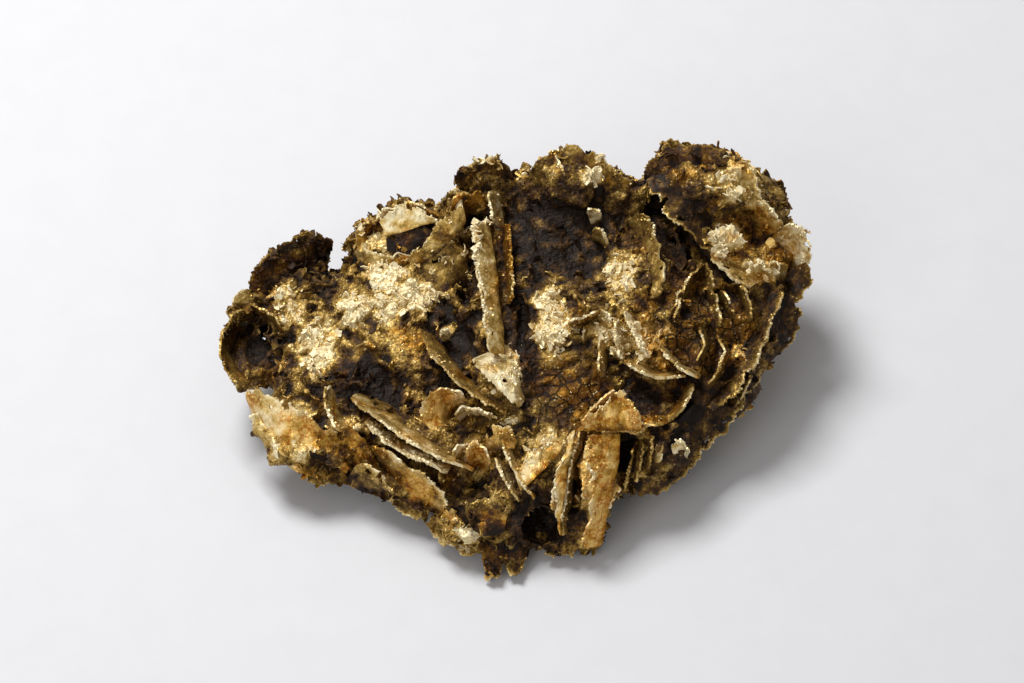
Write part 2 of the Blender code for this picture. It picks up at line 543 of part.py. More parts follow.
def spot(place):
    """The point of the frame for (across, down, height in millimetres)."""
    across, down, height = place
    z = height * MM
    up_in_view = (MIDDLE_DOWN - down) * STEP
    y = (up_in_view - z * math.cos(VIEW_ELEVATION)) / math.sin(VIEW_ELEVATION)
    return Vector(((across - MIDDLE_ACROSS) * STEP, y, z))


def new_collection(name, hidden=False):
    collection = bpy.data.collections.new(name)
    bpy.context.scene.collection.children.link(collection)
    collection.hide_render = hidden
    return collection


def new_object(bm, name, collection):
    """Turns the bmesh into an object. An object of a hidden collection is a helper, and shows as wires."""
    mesh = bpy.data.meshes.new(name)
    bm.to_mesh(mesh)
    bm.free()
    obj = bpy.data.objects.new(name, mesh)
    collection.objects.link(obj)
    if collection.hide_render:
        obj.hide_render = True
        obj.display_type = "WIRE"
    return obj


def settle(obj):
    """Applies the object's modifiers to its mesh."""
    bpy.context.view_layer.update()
    evaluated = obj.evaluated_get(bpy.context.evaluated_depsgraph_get())
    mesh = bpy.data.meshes.new_from_object(evaluated)
    obj.modifiers.clear()
    obj.data = mesh


def fuse(obj, voxel):
    """Runs everything in the object together as one closed skin."""
    remesh = obj.modifiers.new("Run together", "REMESH")
    remesh.mode = "VOXEL"
    remesh.voxel_size = voxel
    settle(obj)


def fewer_facets(obj, count):
    triangles = sum(len(polygon.vertices) - 2 for polygon in obj.data.polygons)
    decimate = obj.modifiers.new("Facets", "DECIMATE")
    decimate.ratio = count / triangles
    settle(obj)


def gather(obj, collection):
    """Adds the meshes of the collection's objects to the object's."""
    bm = bmesh.new()
    bm.from_mesh(obj.data)
    for other in collection.objects:
        bm.from_mesh(other.data)
    bm.to_mesh(obj.data)
    bm.free()


def cut(obj, collection):
    """Cuts the collection's solids out of the object."""
    boolean = obj.modifiers.new("Cut", "BOOLEAN")
    boolean.operation = "DIFFERENCE"
    boolean.operand_type = "COLLECTION"
    boolean.collection = collection
    boolean.solver = "EXACT"
    settle(obj)


def keep_largest_shell(obj):
    """Drops every shell but the largest: chips that touch nothing, and pockets closed in by leaves."""
    bm = bmesh.new()
    bm.from_mesh(obj.data)
    waiting = set(bm.faces)
    shells = []
    while waiting:
        shell = set()
        edge_of_shell = [waiting.pop()]
        while edge_of_shell:
            face = edge_of_shell.pop()
            shell.add(face)
            for edge in face.edges:
                beyond = [other for other in edge.link_faces if other in waiting]
                waiting.difference_update(beyond)
                edge_of_shell.extend(beyond)
        shells.append(shell)
    shells.sort(key=len)
    doomed = [face for shell in shells[:-1] for face in shell]
    bmesh.ops.delete(bm, geom=doomed, context="FACES")
    bmesh.ops.triangulate(bm, faces=bm.faces)
    bm.to_mesh(obj.data)
    bm.free()


def turned(turns):
    return Euler([math.radians(turn) for turn in turns]).to_matrix()


def add_ellipsoid(bm, place, half_sizes, turns=(0, 0, 0), subdivisions=4):
    points = bmesh.ops.create_icosphere(bm, subdivisions=subdivisions, radius=1)["verts"]
    bmesh.ops.scale(bm, vec=[size * MM for size in half_sizes], verts=points)
    bmesh.ops.rotate(bm, cent=(0, 0, 0), matrix=turned(turns), verts=points)
    bmesh.ops.translate(bm, vec=spot(place), verts=points)


def crumple(point):
    """How far the mass's surface stands out at a point: broad swellings, and lumps with sharp grooves between."""
    broad = noise.noise(point / SWELL[0]) * SWELL[1]
    near, next_near = noise.voronoi(point / CRUMPLE[0])[0][:2]
    return broad + (next_near - near - 0.35) * CRUMPLE[1] * 2


def make_mass(collection):
    """The crumpled mass that the leaves stand on: the lumps run together, with folds, as flat facets."""
    bm = bmesh.new()
    for place, half_sizes, turns in LUMPS.values():
        add_ellipsoid(bm, place, half_sizes, turns)
    mass = new_object(bm, "gold_nugget", collection)
    fuse(mass, MASS_VOXEL)
    smooth = mass.modifiers.new("Soften", "SMOOTH")
    smooth.iterations = 6
    settle(mass)
    normals = [vertex.normal.copy() for vertex in mass.data.vertices]
    for vertex, normal in zip(mass.data.vertices, normals):
        vertex.co += normal * crumple(vertex.co)
    fuse(mass, MASS_VOXEL)
    return mass


def make_hollows(collection):
    for name, (place, half_sizes, turns) in HOLLOWS.items():
        bm = bmesh.new()
        add_ellipsoid(bm, place, half_sizes, turns, subdivisions=2)
        new_object(bm, name, collection)


def shown(mass, place):
    """The point of the mass that shows at the place's (across, down), or None where the view passes it."""
    hit, at, _, _ = mass.ray_cast(spot((*place[:2], SIGHT)), -TO_VIEW)
    return at if hit else None


def edge_point(mass, place):
    """Where a leaf's free edge is: at the given height, and always clear of the mass that shows there."""
    at = shown(mass, place)
    return spot(place) if at is None else spot((*place[:2], max(place[2], at.z / MM + EDGE_STANDS)))


def root_point(mass, place):
    """Where a leaf meets the mass: just under its skin, or at the given height where there is none."""
    at = shown(mass, place)
    return spot(place) if at is None else at - TO_VIEW * ROOT_SINKS


def along(points, share):
    """The point at a share of the way along a line through the points."""
    at = min(share * (len(points) - 1), len(points) - 1.000001)
    index = int(at)
    return points[index].lerp(points[index + 1], at - index)


def length_of(points):
    return sum((b - a).length for a, b in zip(points, points[1:]))


def make_leaf(name, edge, root, reach, seed, collection):
    """A thin leaf from its free edge toward its root. With a reach over 1 it goes on past it, into the mass."""
    around = Vector((seed * 7.3, seed * 3.1, seed * 1.7))
    depth = ((edge[0] - root[0]).length + (edge[-1] - root[-1]).length) / 2
    columns = max(2, round(max(length_of(edge), length_of(root)) / LEAF_CELL))
    rows = max(2, round(depth * reach / LEAF_CELL))
    bm = bmesh.new()
    grid = bmesh.ops.create_grid(bm, x_segments=columns, y_segments=rows, size=0.5)["verts"]
    for vertex in grid:
        share = vertex.co.x + 0.5
        inward = (0.5 - vertex.co.y) * reach
        outer = along(edge, share)
        inner = along(root, share)
        step_in = inner - outer
        point = outer + step_in * inward
        free = max(0, 1 - inward)
        ragged = noise.noise(point / (1.9 * MM) + around) * LEAF_RAGGED * free
        sideways = step_in.cross(along(edge, min(share + 0.1, 1)) - along(edge, share - 0.1 * (share > 0.9)))
        wave = noise.noise(point / (3.1 * MM) - around) * LEAF_WAVE
        vertex.co = point - step_in.normalized() * ragged + sideways.normalized() * wave
    leaf = new_object(bm, name, collection)
    solidify = leaf.modifiers.new("Thickness", "SOLIDIFY")
    solidify.thickness = LEAF_THICKNESS
    solidify.offset = 0
    settle(leaf)
    return leaf


def far_leaf(bearing, reaches, heights, width):
    """The free edge and the root of a leaf on the far side, which bulges outward in its middle."""
    lines = []
    for reach, height in zip(reversed(reaches), reversed(heights)):
        line = []
        for side, bulge in ((-0.5, -1.4), (-0.2, 0), (0.2, 0.2), (0.5, -1.0)):
            angle = math.radians(bearing) + side * width / reach
            distance = (reach + bulge) * MM
            line.append(Vector((distance * math.cos(angle), distance * math.sin(angle), height * MM)))
        lines.append(line)
    return lines


def make_leaves(mass, collection):
    for seed, (name, (edge, root)) in enumerate(LEAVES.items()):
        free_edge = [edge_point(mass, place) for place in edge]
        folded = name in FOLDED_FACES
        foot = [spot(place) if folded else root_point(mass, place) for place in root]
        make_leaf(name, free_edge, foot, 1 if folded else ROOT_REACH, seed, collection)
    for seed, (name, numbers) in enumerate(FAR_LEAVES.items(), len(LEAVES)):
        make_leaf(name, *far_leaf(*numbers), ROOT_REACH, seed, collection)


def make_shards(mass, collection):
    """Small leaves that stand out of the mass at odd angles, wherever a ray from outside meets it."""
    chance = Random(11)
    bm = bmesh.new()
    for _ in range(SHARDS):
        outward = Vector([chance.gauss(0, 1) for _ in range(3)]).normalized()
        outward.z = abs(outward.z) * 0.8 - 0.1
        aim = Vector((chance.uniform(-0.45, 0.45), chance.uniform(-0.25, 0.25), 0.15)) * LENGTH
        hit, at, normal, _ = mass.ray_cast(aim + outward * LENGTH, -outward)
        turn = chance.uniform(0, 360)
        size = SHARD * chance.uniform(0.7, 1.3)
        if not hit or at.z < 2 * MM:
            continue
        lean = chance.uniform(-30, 30)
        facing = normal.dot(TO_VIEW)
        if facing < -0.4:
            size *= FAR_SHARD
            lean = 55 + lean / 3
        elif facing < 0.25:
            size *= 0.6
        corners = bmesh.ops.create_cube(bm, size=1)["verts"]
        bmesh.ops.scale(bm, vec=(1.5 * size, LEAF_THICKNESS, size), verts=corners)
        bmesh.ops.rotate(bm, cent=(0, 0, 0), matrix=turned((lean, 0, turn)), verts=corners)
        bmesh.ops.rotate(bm, cent=(0, 0, 0), matrix=normal.to_track_quat("Z", "Y").to_matrix(), verts=corners)
        bmesh.ops.translate(bm, vec=at, verts=corners)
    new_object(bm, "shards", collection)


def make_crystals(mass, collection):
    """Blocky octahedra that stand on the mass in patches."""
    chance = Random(5)
    for name, (place, half_sizes, count) in CRUSTS.items():
        bm = bmesh.new()
        for _ in range(count):
            angle = chance.uniform(0, math.tau)
            reach = math.sqrt(chance.random())
            across = place[0] + half_sizes[0] * reach * math.cos(angle)
            down = place[1] + half_sizes[1] * reach * math.sin(angle)
            at = shown(mass, (across, down))
            size = CRYSTAL * chance.uniform(0.75, 1.3)
            turns = [chance.uniform(0, 90) for _ in range(3)]
            if at is None:
                continue
            points = bmesh.ops.create_uvsphere(bm, u_segments=4, v_segments=2, radius=size)["verts"]
            bmesh.ops.rotate(bm, cent=(0, 0, 0), matrix=turned(turns), verts=points)
            bmesh.ops.translate(bm, vec=at, verts=points)
        new_object(bm, name, collection)


def make_table_cutter(collection):
    """A block whose top is the table, for cutting the flat patches that the nugget rests on."""
    bm = bmesh.new()
    points = bmesh.ops.create_cube(bm, size=2 * LENGTH)["verts"]
    bmesh.ops.translate(bm, vec=(0, 0, -LENGTH), verts=points)
    new_object(bm, "table", collection)


def make_metal():
    metal = bpy.data.materials.new("leaf_gold")
    metal.use_nodes = True
    shader = metal.node_tree.nodes["Principled BSDF"]
    shader.inputs["Base Color"].default_value = FINISH["color"]
    shader.inputs["Metallic"].default_value = FINISH["metallic"]
    shader.inputs["Roughness"].default_value = FINISH["roughness"]
    return metal


def main():
    for obj in list(bpy.data.objects):
        bpy.data.objects.remove(obj)
    nugget_collection = new_collection("leaf_gold_nugget")
    cutters = new_collection("cutters", hidden=True)
    grown = new_collection("grown_on", hidden=True)
    nugget = make_mass(nugget_collection)
    make_hollows(cutters)
    cut(nugget, cutters)
    make_shards(nugget, grown)
    make_crystals(nugget, grown)
    make_leaves(nugget, grown)
    gather(nugget, grown)
    fuse(nugget, FINE_VOXEL)
    keep_largest_shell(nugget)
    fewer_facets(nugget, ALL_FACES)
    table = new_collection("table", hidden=True)
    make_table_cutter(table)
    cut(nugget, table)
    nugget.data.materials.clear()
    nugget.data.materials.append(make_metal())


main()
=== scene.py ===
"""The looks of a crystalline leaf-gold nugget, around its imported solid.

Units are metres and +Z is up. A form is placed by where it shows from in front and above, as (across, down)
in steps of that view and a height in millimetres above the table, which spot() turns into a point.
"""

import math
from random import Random

import bmesh
import bpy
import numpy as np
from mathutils import Euler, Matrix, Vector, noise


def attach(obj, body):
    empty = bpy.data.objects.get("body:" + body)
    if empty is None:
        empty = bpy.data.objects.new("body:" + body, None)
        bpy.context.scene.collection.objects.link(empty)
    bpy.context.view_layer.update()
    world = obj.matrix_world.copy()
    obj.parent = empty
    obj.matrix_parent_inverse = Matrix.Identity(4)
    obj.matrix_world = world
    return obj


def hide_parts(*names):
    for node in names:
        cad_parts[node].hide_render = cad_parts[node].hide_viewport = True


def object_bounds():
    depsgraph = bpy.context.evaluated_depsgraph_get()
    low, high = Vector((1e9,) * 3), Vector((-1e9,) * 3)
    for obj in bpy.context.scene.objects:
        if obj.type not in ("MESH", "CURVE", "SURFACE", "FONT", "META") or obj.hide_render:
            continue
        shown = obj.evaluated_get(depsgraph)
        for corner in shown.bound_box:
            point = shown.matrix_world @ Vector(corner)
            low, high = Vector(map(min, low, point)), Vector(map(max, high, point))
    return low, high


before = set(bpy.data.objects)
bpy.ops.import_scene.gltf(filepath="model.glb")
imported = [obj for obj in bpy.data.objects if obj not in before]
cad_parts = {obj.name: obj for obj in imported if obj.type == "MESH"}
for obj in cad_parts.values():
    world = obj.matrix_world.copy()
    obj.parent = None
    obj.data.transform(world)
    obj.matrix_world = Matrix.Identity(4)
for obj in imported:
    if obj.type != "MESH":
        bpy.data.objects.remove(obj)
CAD_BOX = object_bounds()

MM = 0.001

# The same sizes as in the solid's source
LENGTH = 60 * MM
VIEW_ELEVATION = math.radians(50)
STEPS_ALONG_LENGTH = 597
STEP = LENGTH / STEPS_ALONG_LENGTH
MIDDLE_ACROSS = 517
MIDDLE_DOWN = 415
TO_VIEW = Vector((0, -math.cos(VIEW_ELEVATION), math.sin(VIEW_ELEVATION)))
SIGHT = 60  # the height in millimetres from which the view looks down on a form
LEAF_RAGGED = 0.55 * MM  # how far a leaf's free edge wanders in and out
LEAF_WAVE = 0.25 * MM  # how far its face waves to either side
ROOT_REACH = 1.35  # how far a leaf goes on past its root into the mass, as a share of its depth
ROOT_SINKS = 0.5 * MM
EDGE_STANDS = 0.7  # the least height in millimetres of a free edge above the mass
MASS_VOXEL = 0.5 * MM
SWELL = (5.5 * MM, 1.0 * MM)  # spacing and height of the mass's swellings
CRUMPLE = (2.4 * MM, 0.75 * MM)  # and of its sharp-grooved lumps
SHARDS = 210
SHARD = 1.2 * MM
FAR_SHARD = 2.4  # how much larger the shards are that face away from the view
SHARD_THICKNESS = 0.5 * MM

# Sizes of the fine detail
BODY_VOXEL = 0.29 * MM
LEAF_CELL = 0.22 * MM
LEAF_THICKNESS = 0.2 * MM
FLAKE_THICKNESS = 0.14  # as a share of a flake's size
TEETH = ((1.2 * MM, 0.42 * MM), (0.42 * MM, 0.22 * MM))  # spacing and depth of the teeth along a free edge
LEAF_GRAIN = ((1.6 * MM, 0.10 * MM), (0.6 * MM, 0.03 * MM))  # spacing and height of the relief on a leaf
BODY_GRAIN = ((1.5 * MM, 0.30 * MM), (0.7 * MM, 0.16 * MM))  # and of the relief on the body
HOLE = (0.9 * MM, 0.46)  # spacing of the holes near a leaf's edge, and the noise above which one opens

# What grows on the body and on every group of leaves: the shapes that are copied, the attribute that says
# where, how many to the square metre, the least and greatest size in millimetres, how upright they stand,
# and the finish.
BODY_GROWTHS = {
    "crust": ("crystals", "crust", 7e6, (0.10, 0.24), 0.0, "crystal_gold"),
    "scales": ("scales", "scale", 4.5e6, (0.16, 0.42), 0.5, "crumpled_oxide"),
    "flakes": ("flakes", "flake", 1.7e6, (0.35, 0.85), 1.2, "leaf_gold"),
    "plates": ("flakes", "crust", 2.6e6, (0.25, 0.7), 0.5, "pale_gold"),
}
LEAF_GROWTHS = {
    "crust": ("crystals", "crust", 1.8e7, (0.05, 0.2), 0.0, "crystal_gold"),
    "plates": ("flakes", "plate", 2.5e6, (0.25, 0.65), 0.5, "pale_gold"),
    "flakes": ("flakes", "flake", 1.5e6, (0.3, 0.8), 1.0, "leaf_gold"),
}

# The crystals that are copied: sides, rings and height of the ball that each is made from.
CRYSTAL_SHAPES = {"octahedron": (4, 2, 1.0), "block": (5, 3, 0.9), "plate": (6, 2, 0.45)}

# The camera looks at this (across, down, height), and its picture is this many steps wide.
LOOKED_AT = (512, 341.5, 10)
PICTURE_WIDTH = 1024
LENS = 150
SENSOR_WIDTH = 36

# Where each lamp stands, its size, and its power in watts. Both shine on the nugget's middle.
LAMPS = {
    "soft_box": ((-0.12, 0.14, 0.34), 0.14, 1.5),
    "front_fill": ((-0.20, -0.30, 0.26), 0.2, 0.35),
}
LIT_POINT = (0, 0, 0.01)
ROOM_COLOUR = (1.0, 0.98, 0.95, 1)
ROOM_LIGHT = 0.35

# What each tone of a leaf looks like: how bare the gold is, how rusty, and how much paler its free edge is
# painted, as a painted highlight along the edge.
TONES = {
    "cream": (0.86, 0.3, 0.1),
    "stained": (0.84, 0.68, 0.1),
    "honey": (0.8, 0.9, 0.15),
    "gold": (0.68, 0.4, 0.25),
    "amber": (0.66, 0.8, 0.2),
    "orange": (0.54, 0.9, 0.2),
    "olive": (0.48, 0.15, 0.35),
    "brown": (0.4, 0.5, 0.25),
    # Painted shade: the leaves of the right flank, the side turned from the light, are painted dark
    "shaded_moss": (0.26, 0.15, 0.5),
    "umber": (0.28, 0.6, 0.3),
    "dark": (0.18, 0.3, 0.7),
    # Painted shade: the tone of the dark sheets put in the deep cup and slot
    "shade": (0.2, 0.5, 0.0),
    "ridge": (0.42, 0.4, 0.35),
    "tan": (0.56, 0.5, 0.2),
}

# Where the mass shows bare gold: middle, half sizes in steps, strength, and how thickly crystals stand on it.
GOLD_PATCHES = [
    ((386, 272), (24, 16), 1.0, 1.0),
    ((416, 298), (30, 20), 1.0, 1.0),
    ((378, 308), (32, 16), 0.85, 0.8),
    ((352, 312), (13, 24), 1.0, 0.8),
    ((398, 340), (46, 22), 0.4, 0.1),
    ((318, 345), (20, 34), 0.85, 0.8),
    ((292, 316), (14, 16), 0.75, 0.7),
    ((276, 294), (30, 10), 0.6, 0.7),
    ((258, 270), (18, 18), 0.4, 0.6),
    ((375, 236), (24, 18), 0.6, 0.2),
    ((398, 256), (22, 7), 0.85, 0.7),
    ((448, 240), (22, 26), 0.6, 0.4),
    ((552, 318), (18, 46), 0.75, 0.9),
    ((620, 272), (18, 32), 0.7, 0.9),
    ((606, 330), (34, 16), 0.55, 0.6),
    ((640, 350), (26, 34), 0.5, 0.6),
    ((724, 237), (24, 14), 1.0, 1.0),
    ((740, 178), (30, 34), 0.5, 0.7),
    ((768, 268), (24, 12), 0.7, 0.3),
    ((594, 176), (12, 12), 0.9, 0.7),
    ((468, 532), (18, 12), 1.0, 0.8),
    ((500, 560), (20, 16), 0.5, 0.6),
    ((480, 455), (20, 20), 0.45, 0.4),
    ((545, 445), (22, 16), 0.6, 0.3),
    ((284, 415), (32, 20), 0.8, 0.1),
    ((300, 445), (34, 14), 0.5, 0.3),
    ((350, 425), (20, 12), 0.5, 0.5),
    ((595, 480), (18, 50), 0.5, 0.2),
    ((446, 335), (6, 8), 1.0, 1.0),
    ((512, 415), (7, 6), 1.0, 1.0),
    ((738, 351), (6, 8), 0.9, 1.0),
]

# Where rust tints it: middle, half sizes and strength, as in the tables after this one
RUST_PATCHES = [
    ((345, 440), (30, 24), 1.0),
    ((400, 345), (44, 20), 0.7),
    ((506, 258), (8, 44), 1.0),
    ((570, 395), (40, 34), 0.8),
    ((606, 400), (30, 24), 1.0),
    ((595, 470), (24, 60), 0.9),
    ((700, 330), (70, 60), 0.75),
    ((755, 245), (50, 40), 0.7),
    ((700, 160), (60, 26), 0.5),
    ((300, 240), (40, 20), 0.5),
    ((620, 420), (50, 20), 0.8),
]

# Brown oxide that has cracked into blocks
CRACKED_PATCHES = [
    ((568, 395), (40, 32), 1.0),
    ((700, 330), (52, 50), 1.0),
    ((625, 365), (40, 24), 0.7),
    ((505, 432), (40, 16), 0.9),
    ((545, 480), (26, 24), 0.7),
    ((480, 395), (30, 14), 0.7),
]

# Where the mass is painted nearly black: dark oxide, and painted shade in the hollows, gaps and caves and on
# the shaded right flank
DARK_OXIDE_AND_SHADE_PATCHES = [
    ((408, 232), (28, 12), 1.0),
    ((650, 240), (10, 30), 0.3),
    ((560, 235), (64, 56), 1.0),
    ((520, 330), (18, 90), 0.9),
    ((450, 345), (34, 46), 0.9),
    ((372, 385), (44, 34), 0.9),
    ((292, 262), (34, 30), 0.5),
    ((254, 345), (24, 34), 0.7),
    ((675, 232), (26, 44), 1.0),
    ((686, 212), (30, 22), 0.8),
    ((540, 520), (36, 34), 0.9),
    ((720, 430), (70, 60), 0.9),
    ((785, 325), (30, 60), 0.8),
    ((470, 270), (12, 30), 0.8),
    ((470, 212), (16, 14), 0.9),
    ((625, 455), (18, 26), 0.9),
    ((572, 495), (10, 36), 0.8),
    ((640, 400), (30, 20), 0.6),
    ((330, 478), (60, 14), 0.7),
]

# Where the skin is folded sheet, with few crystals standing on it
SMOOTH_PATCHES = [
    ((238, 345), (26, 52), 0.9),
    ((408, 232), (30, 14), 1.0),
    ((560, 240), (60, 50), 0.6),
    ((575, 160), (50, 18), 0.5),
    ((676, 215), (30, 36), 0.9),
    ((700, 325), (60, 50), 0.7),
    ((785, 320), (34, 70), 1.0),
    ((725, 425), (80, 60), 0.9),
    ((568, 395), (44, 34), 0.8),
    ((590, 470), (30, 60), 0.8),
    ((285, 425), (50, 40), 0.9),
    ((420, 460), (60, 40), 0.6),
    ((500, 340), (30, 60), 0.6),
    ((440, 350), (40, 40), 0.5),
    ((375, 352), (48, 20), 0.8),
]

# Where small plates have grown thickly on the leaves too
LEAF_CRUSTS = [
    ((726, 237), (20, 14), 3.5),
    ((492, 566), (16, 14), 0.3),
    ((516, 564), (14, 12), 0.3),
    ((470, 535), (14, 12), 0.7),
    ((594, 172), (8, 8), 0.8),
    ((640, 335), (14, 22), 0.5),
    ((512, 350), (12, 10), 0.4),
    ((471, 285), (6, 64), 1.3),
    ((478, 226), (10, 12), 0.8),
    ((392, 262), (26, 8), 0.7),
    ((440, 262), (14, 12), 0.5),
    ((362, 232), (12, 12), 0.6),
    ((768, 265), (20, 8), 0.5),
    ((480, 160), (26, 10), 0.4),
    ((322, 395), (8, 14), 0.4),
]

# Where small torn flakes stand on the leaves
LEAF_FRINGES = [
    ((285, 255), (50, 34), 0.9),
    ((480, 168), (34, 20), 0.9),
    ((505, 565), (24, 14), 1.2),
    ((360, 228), (16, 22), 0.7),
    ((700, 150), (60, 18), 0.5),
    ((450, 530), (50, 26), 0.6),
    ((385, 500), (60, 18), 0.4),
    ((295, 475), (50, 16), 0.6),
    ((560, 548), (50, 14), 0.5),
    ((230, 305), (16, 20), 0.5),
]

# The mass: centre, half sizes in millimetres along x, y and z, and turns in degrees about x, y and z.
LUMPS = {
    "heart": ((575, 322, 7.2), (14.0, 12.5, 7.4), (0, 0, 0)),
    "slope": ((566, 285, 11.2), (9.5, 12.5, 3.6), (14, 0, 0)),
    "right_slope": ((655, 320, 9.6), (9.0, 9.5, 4.6), (10, 6, 0)),
    "sole": ((537, 391, 4.8), (12.5, 10.5, 6.0), (0, 0, 0)),
    "middle_fill": ((520, 400, 8.2), (6.0, 5.0, 3.0), (12, 0, 0)),
    "rear_foot": ((567, 296, 3.0), (8.0, 6.0, 4.2), (0, 0, 0)),
    "back": ((560, 225, 9.5), (8.5, 6.0, 7.4), (0, 0, 0)),
    "crown": ((573, 177, 17.6), (4.0, 3.1, 3.0), (0, 0, 12)),
    "crown_left": ((537, 186, 15.6), (3.4, 2.4, 2.6), (0, 0, 0)),
    "crown_right": ((618, 192, 15.8), (3.4, 2.6, 2.8), (0, 0, -20)),
    "back_left": ((480, 226, 10.0), (4.2, 5.0, 6.5), (0, 0, 0)),
    "overhang": ((485, 178, 16.6), (2.6, 2.0, 2.4), (0, 0, 0)),
    "diagonal": ((452, 222, 12.6), (2.6, 3.0, 3.2), (0, 0, 30)),
    "back_right": ((704, 225, 11.5), (6.0, 5.5, 6.5), (0, 0, 0)),
    "crest": ((704, 184, 17.0), (5.8, 4.6, 4.4), (0, 0, 0)),
    "crest_left": ((673, 178, 17.4), (2.6, 3.0, 3.0), (0, 0, 0)),
    "crest_right": ((748, 208, 13.6), (4.6, 4.2, 4.2), (0, 20, -20)),
    "right": ((735, 285, 8.5), (7.2, 7.5, 6.2), (0, 0, 0)),
    "right_face": ((728, 318, 8.6), (6.2, 8.0, 4.4), (18, 14, 0)),
    "right_tip": ((788, 262, 9.6), (2.6, 3.2, 4.2), (0, 0, 0)),
    "right_rim": ((782, 318, 7.2), (2.4, 4.0, 2.6), (0, 0, -10)),
    "right_low": ((700, 372, 6.2), (6.5, 7.0, 4.8), (0, 0, 0)),
    "low_right": ((640, 440, 5.0), (6.0, 6.0, 4.6), (0, 0, 0)),
    "low_middle": ((555, 465, 4.6), (8.0, 6.5, 4.9), (0, 0, 0)),
    "column": ((592, 470, 5.4), (2.2, 5.4, 3.8), (20, 0, 0)),
    "toe": ((508, 518, 2.6), (5.0, 4.0, 3.2), (0, 0, 0)),
    "heel": ((570, 523, 2.4), (3.6, 3.2, 2.8), (0, 0, 0)),
    "toe_left": ((464, 516, 3.4), (3.4, 3.6, 2.0), (0, 0, 0)),
    "low_left": ((440, 447, 4.8), (6.2, 5.6, 3.4), (0, 0, 0)),
    "lower_sheet": ((404, 468, 4.0), (3.4, 4.2, 1.9), (0, 0, 30)),
    "left_middle": ((405, 345, 6.2), (8.0, 8.5, 4.2), (0, 0, 0)),
    "left_bridge": ((340, 312, 7.6), (4.4, 5.2, 3.4), (0, 0, 0)),
    "crust_bank": ((398, 292, 8.8), (5.2, 4.6, 3.6), (0, 0, 0)),
    "cup": ((396, 252, 9.4), (4.6, 3.8, 3.6), (0, 0, 0)),
    "cup_back": ((402, 222, 11.0), (4.0, 2.4, 3.2), (0, 0, 12)),
    "cup_left": ((366, 246, 10.4), (2.4, 2.6, 2.6), (0, 0, 0)),
    "left": ((325, 375, 6.8), (5.6, 6.2, 3.0), (0, 0, 0)),
    "left_lobe": ((291, 280, 8.8), (4.3, 4.6, 2.1), (0, 0, 0)),
    "lobe_neck": ((284, 320, 8.4), (3.2, 3.2, 2.2), (0, 0, 0)),
    "ring_floor": ((248, 360, 6.8), (3.0, 4.4, 1.8), (0, 0, 0)),
    "blade_bed": ((374, 424, 5.6), (4.6, 3.8, 2.4), (0, 0, -20)),
    "left_foot": ((318, 440, 5.2), (5.4, 4.2, 2.3), (0, 0, 0)),
    "apron": ((283, 424, 6.2), (3.2, 3.2, 1.8), (0, 0, 0)),
}

# Hollows cut into the mass, given the same way.
HOLLOWS = {
    "slot": ((671, 231, 15.2), (1.7, 4.8, 4.0), (0, 0, 26)),
    "cup_slot": ((410, 234, 14.0), (2.8, 1.1, 2.8), (0, 0, 27)),
    "ring": ((253, 340, 9.4), (1.9, 3.2, 2.2), (0, 0, 0)),
    "ring_hole": ((266, 333, 7.0), (0.75, 1.0, 6.0), (40, 0, 0)),
    "strut_gap": ((464, 275, 12.6), (0.9, 3.6, 3.2), (0, 0, 0)),
    "under_diagonal": ((470, 212, 15.2), (1.3, 1.2, 2.0), (0, 0, 0)),
    "under_overhang": ((465, 176, 16.6), (1.2, 1.2, 1.0), (0, 0, 0)),
    "strut_side": ((520, 340, 14.6), (0.9, 7.0, 3.0), (0, 0, -4)),
    "dark_bay": ((452, 340, 10.6), (2.4, 2.6, 1.8), (0, 0, 0)),
    "left_bay": ((395, 385, 9.0), (4.6, 2.4, 1.8), (0, 0, 0)),
    "front_cave": ((541, 522, 3.8), (2.2, 2.6, 1.9), (0, 0, 0)),
    "shelf_cave": ((626, 455, 8.2), (1.5, 2.4, 2.0), (0, 0, 0)),
    "column_side": ((572, 490, 7.0), (0.9, 3.4, 2.4), (0, 0, 0)),
    "blade_gap": ((412, 446, 8.6), (4.2, 0.7, 1.8), (0, 0, -30)),
    "lower_gap": ((430, 478, 7.2), (4.2, 0.7, 1.6), (0, 0, -34)),
    "ring_step": ((290, 388, 9.4), (3.0, 0.9, 1.4), (0, 0, -18)),
    "crest_bay": ((688, 214, 19.0), (2.4, 2.0, 1.6), (0, 0, 0)),
    "lobe_bay": ((304, 258, 11.4), (2.4, 2.0, 1.4), (0, 0, 0)),
    "fan_bay_1": ((688, 300, 14.4), (0.8, 2.6, 1.8), (0, 0, -14)),
    "fan_bay_2": ((735, 300, 14.0), (0.8, 2.2, 1.8), (0, 0, 0)),
    "flank_bay": ((772, 352, 9.6), (0.9, 3.0, 2.0), (0, 0, -26)),
}

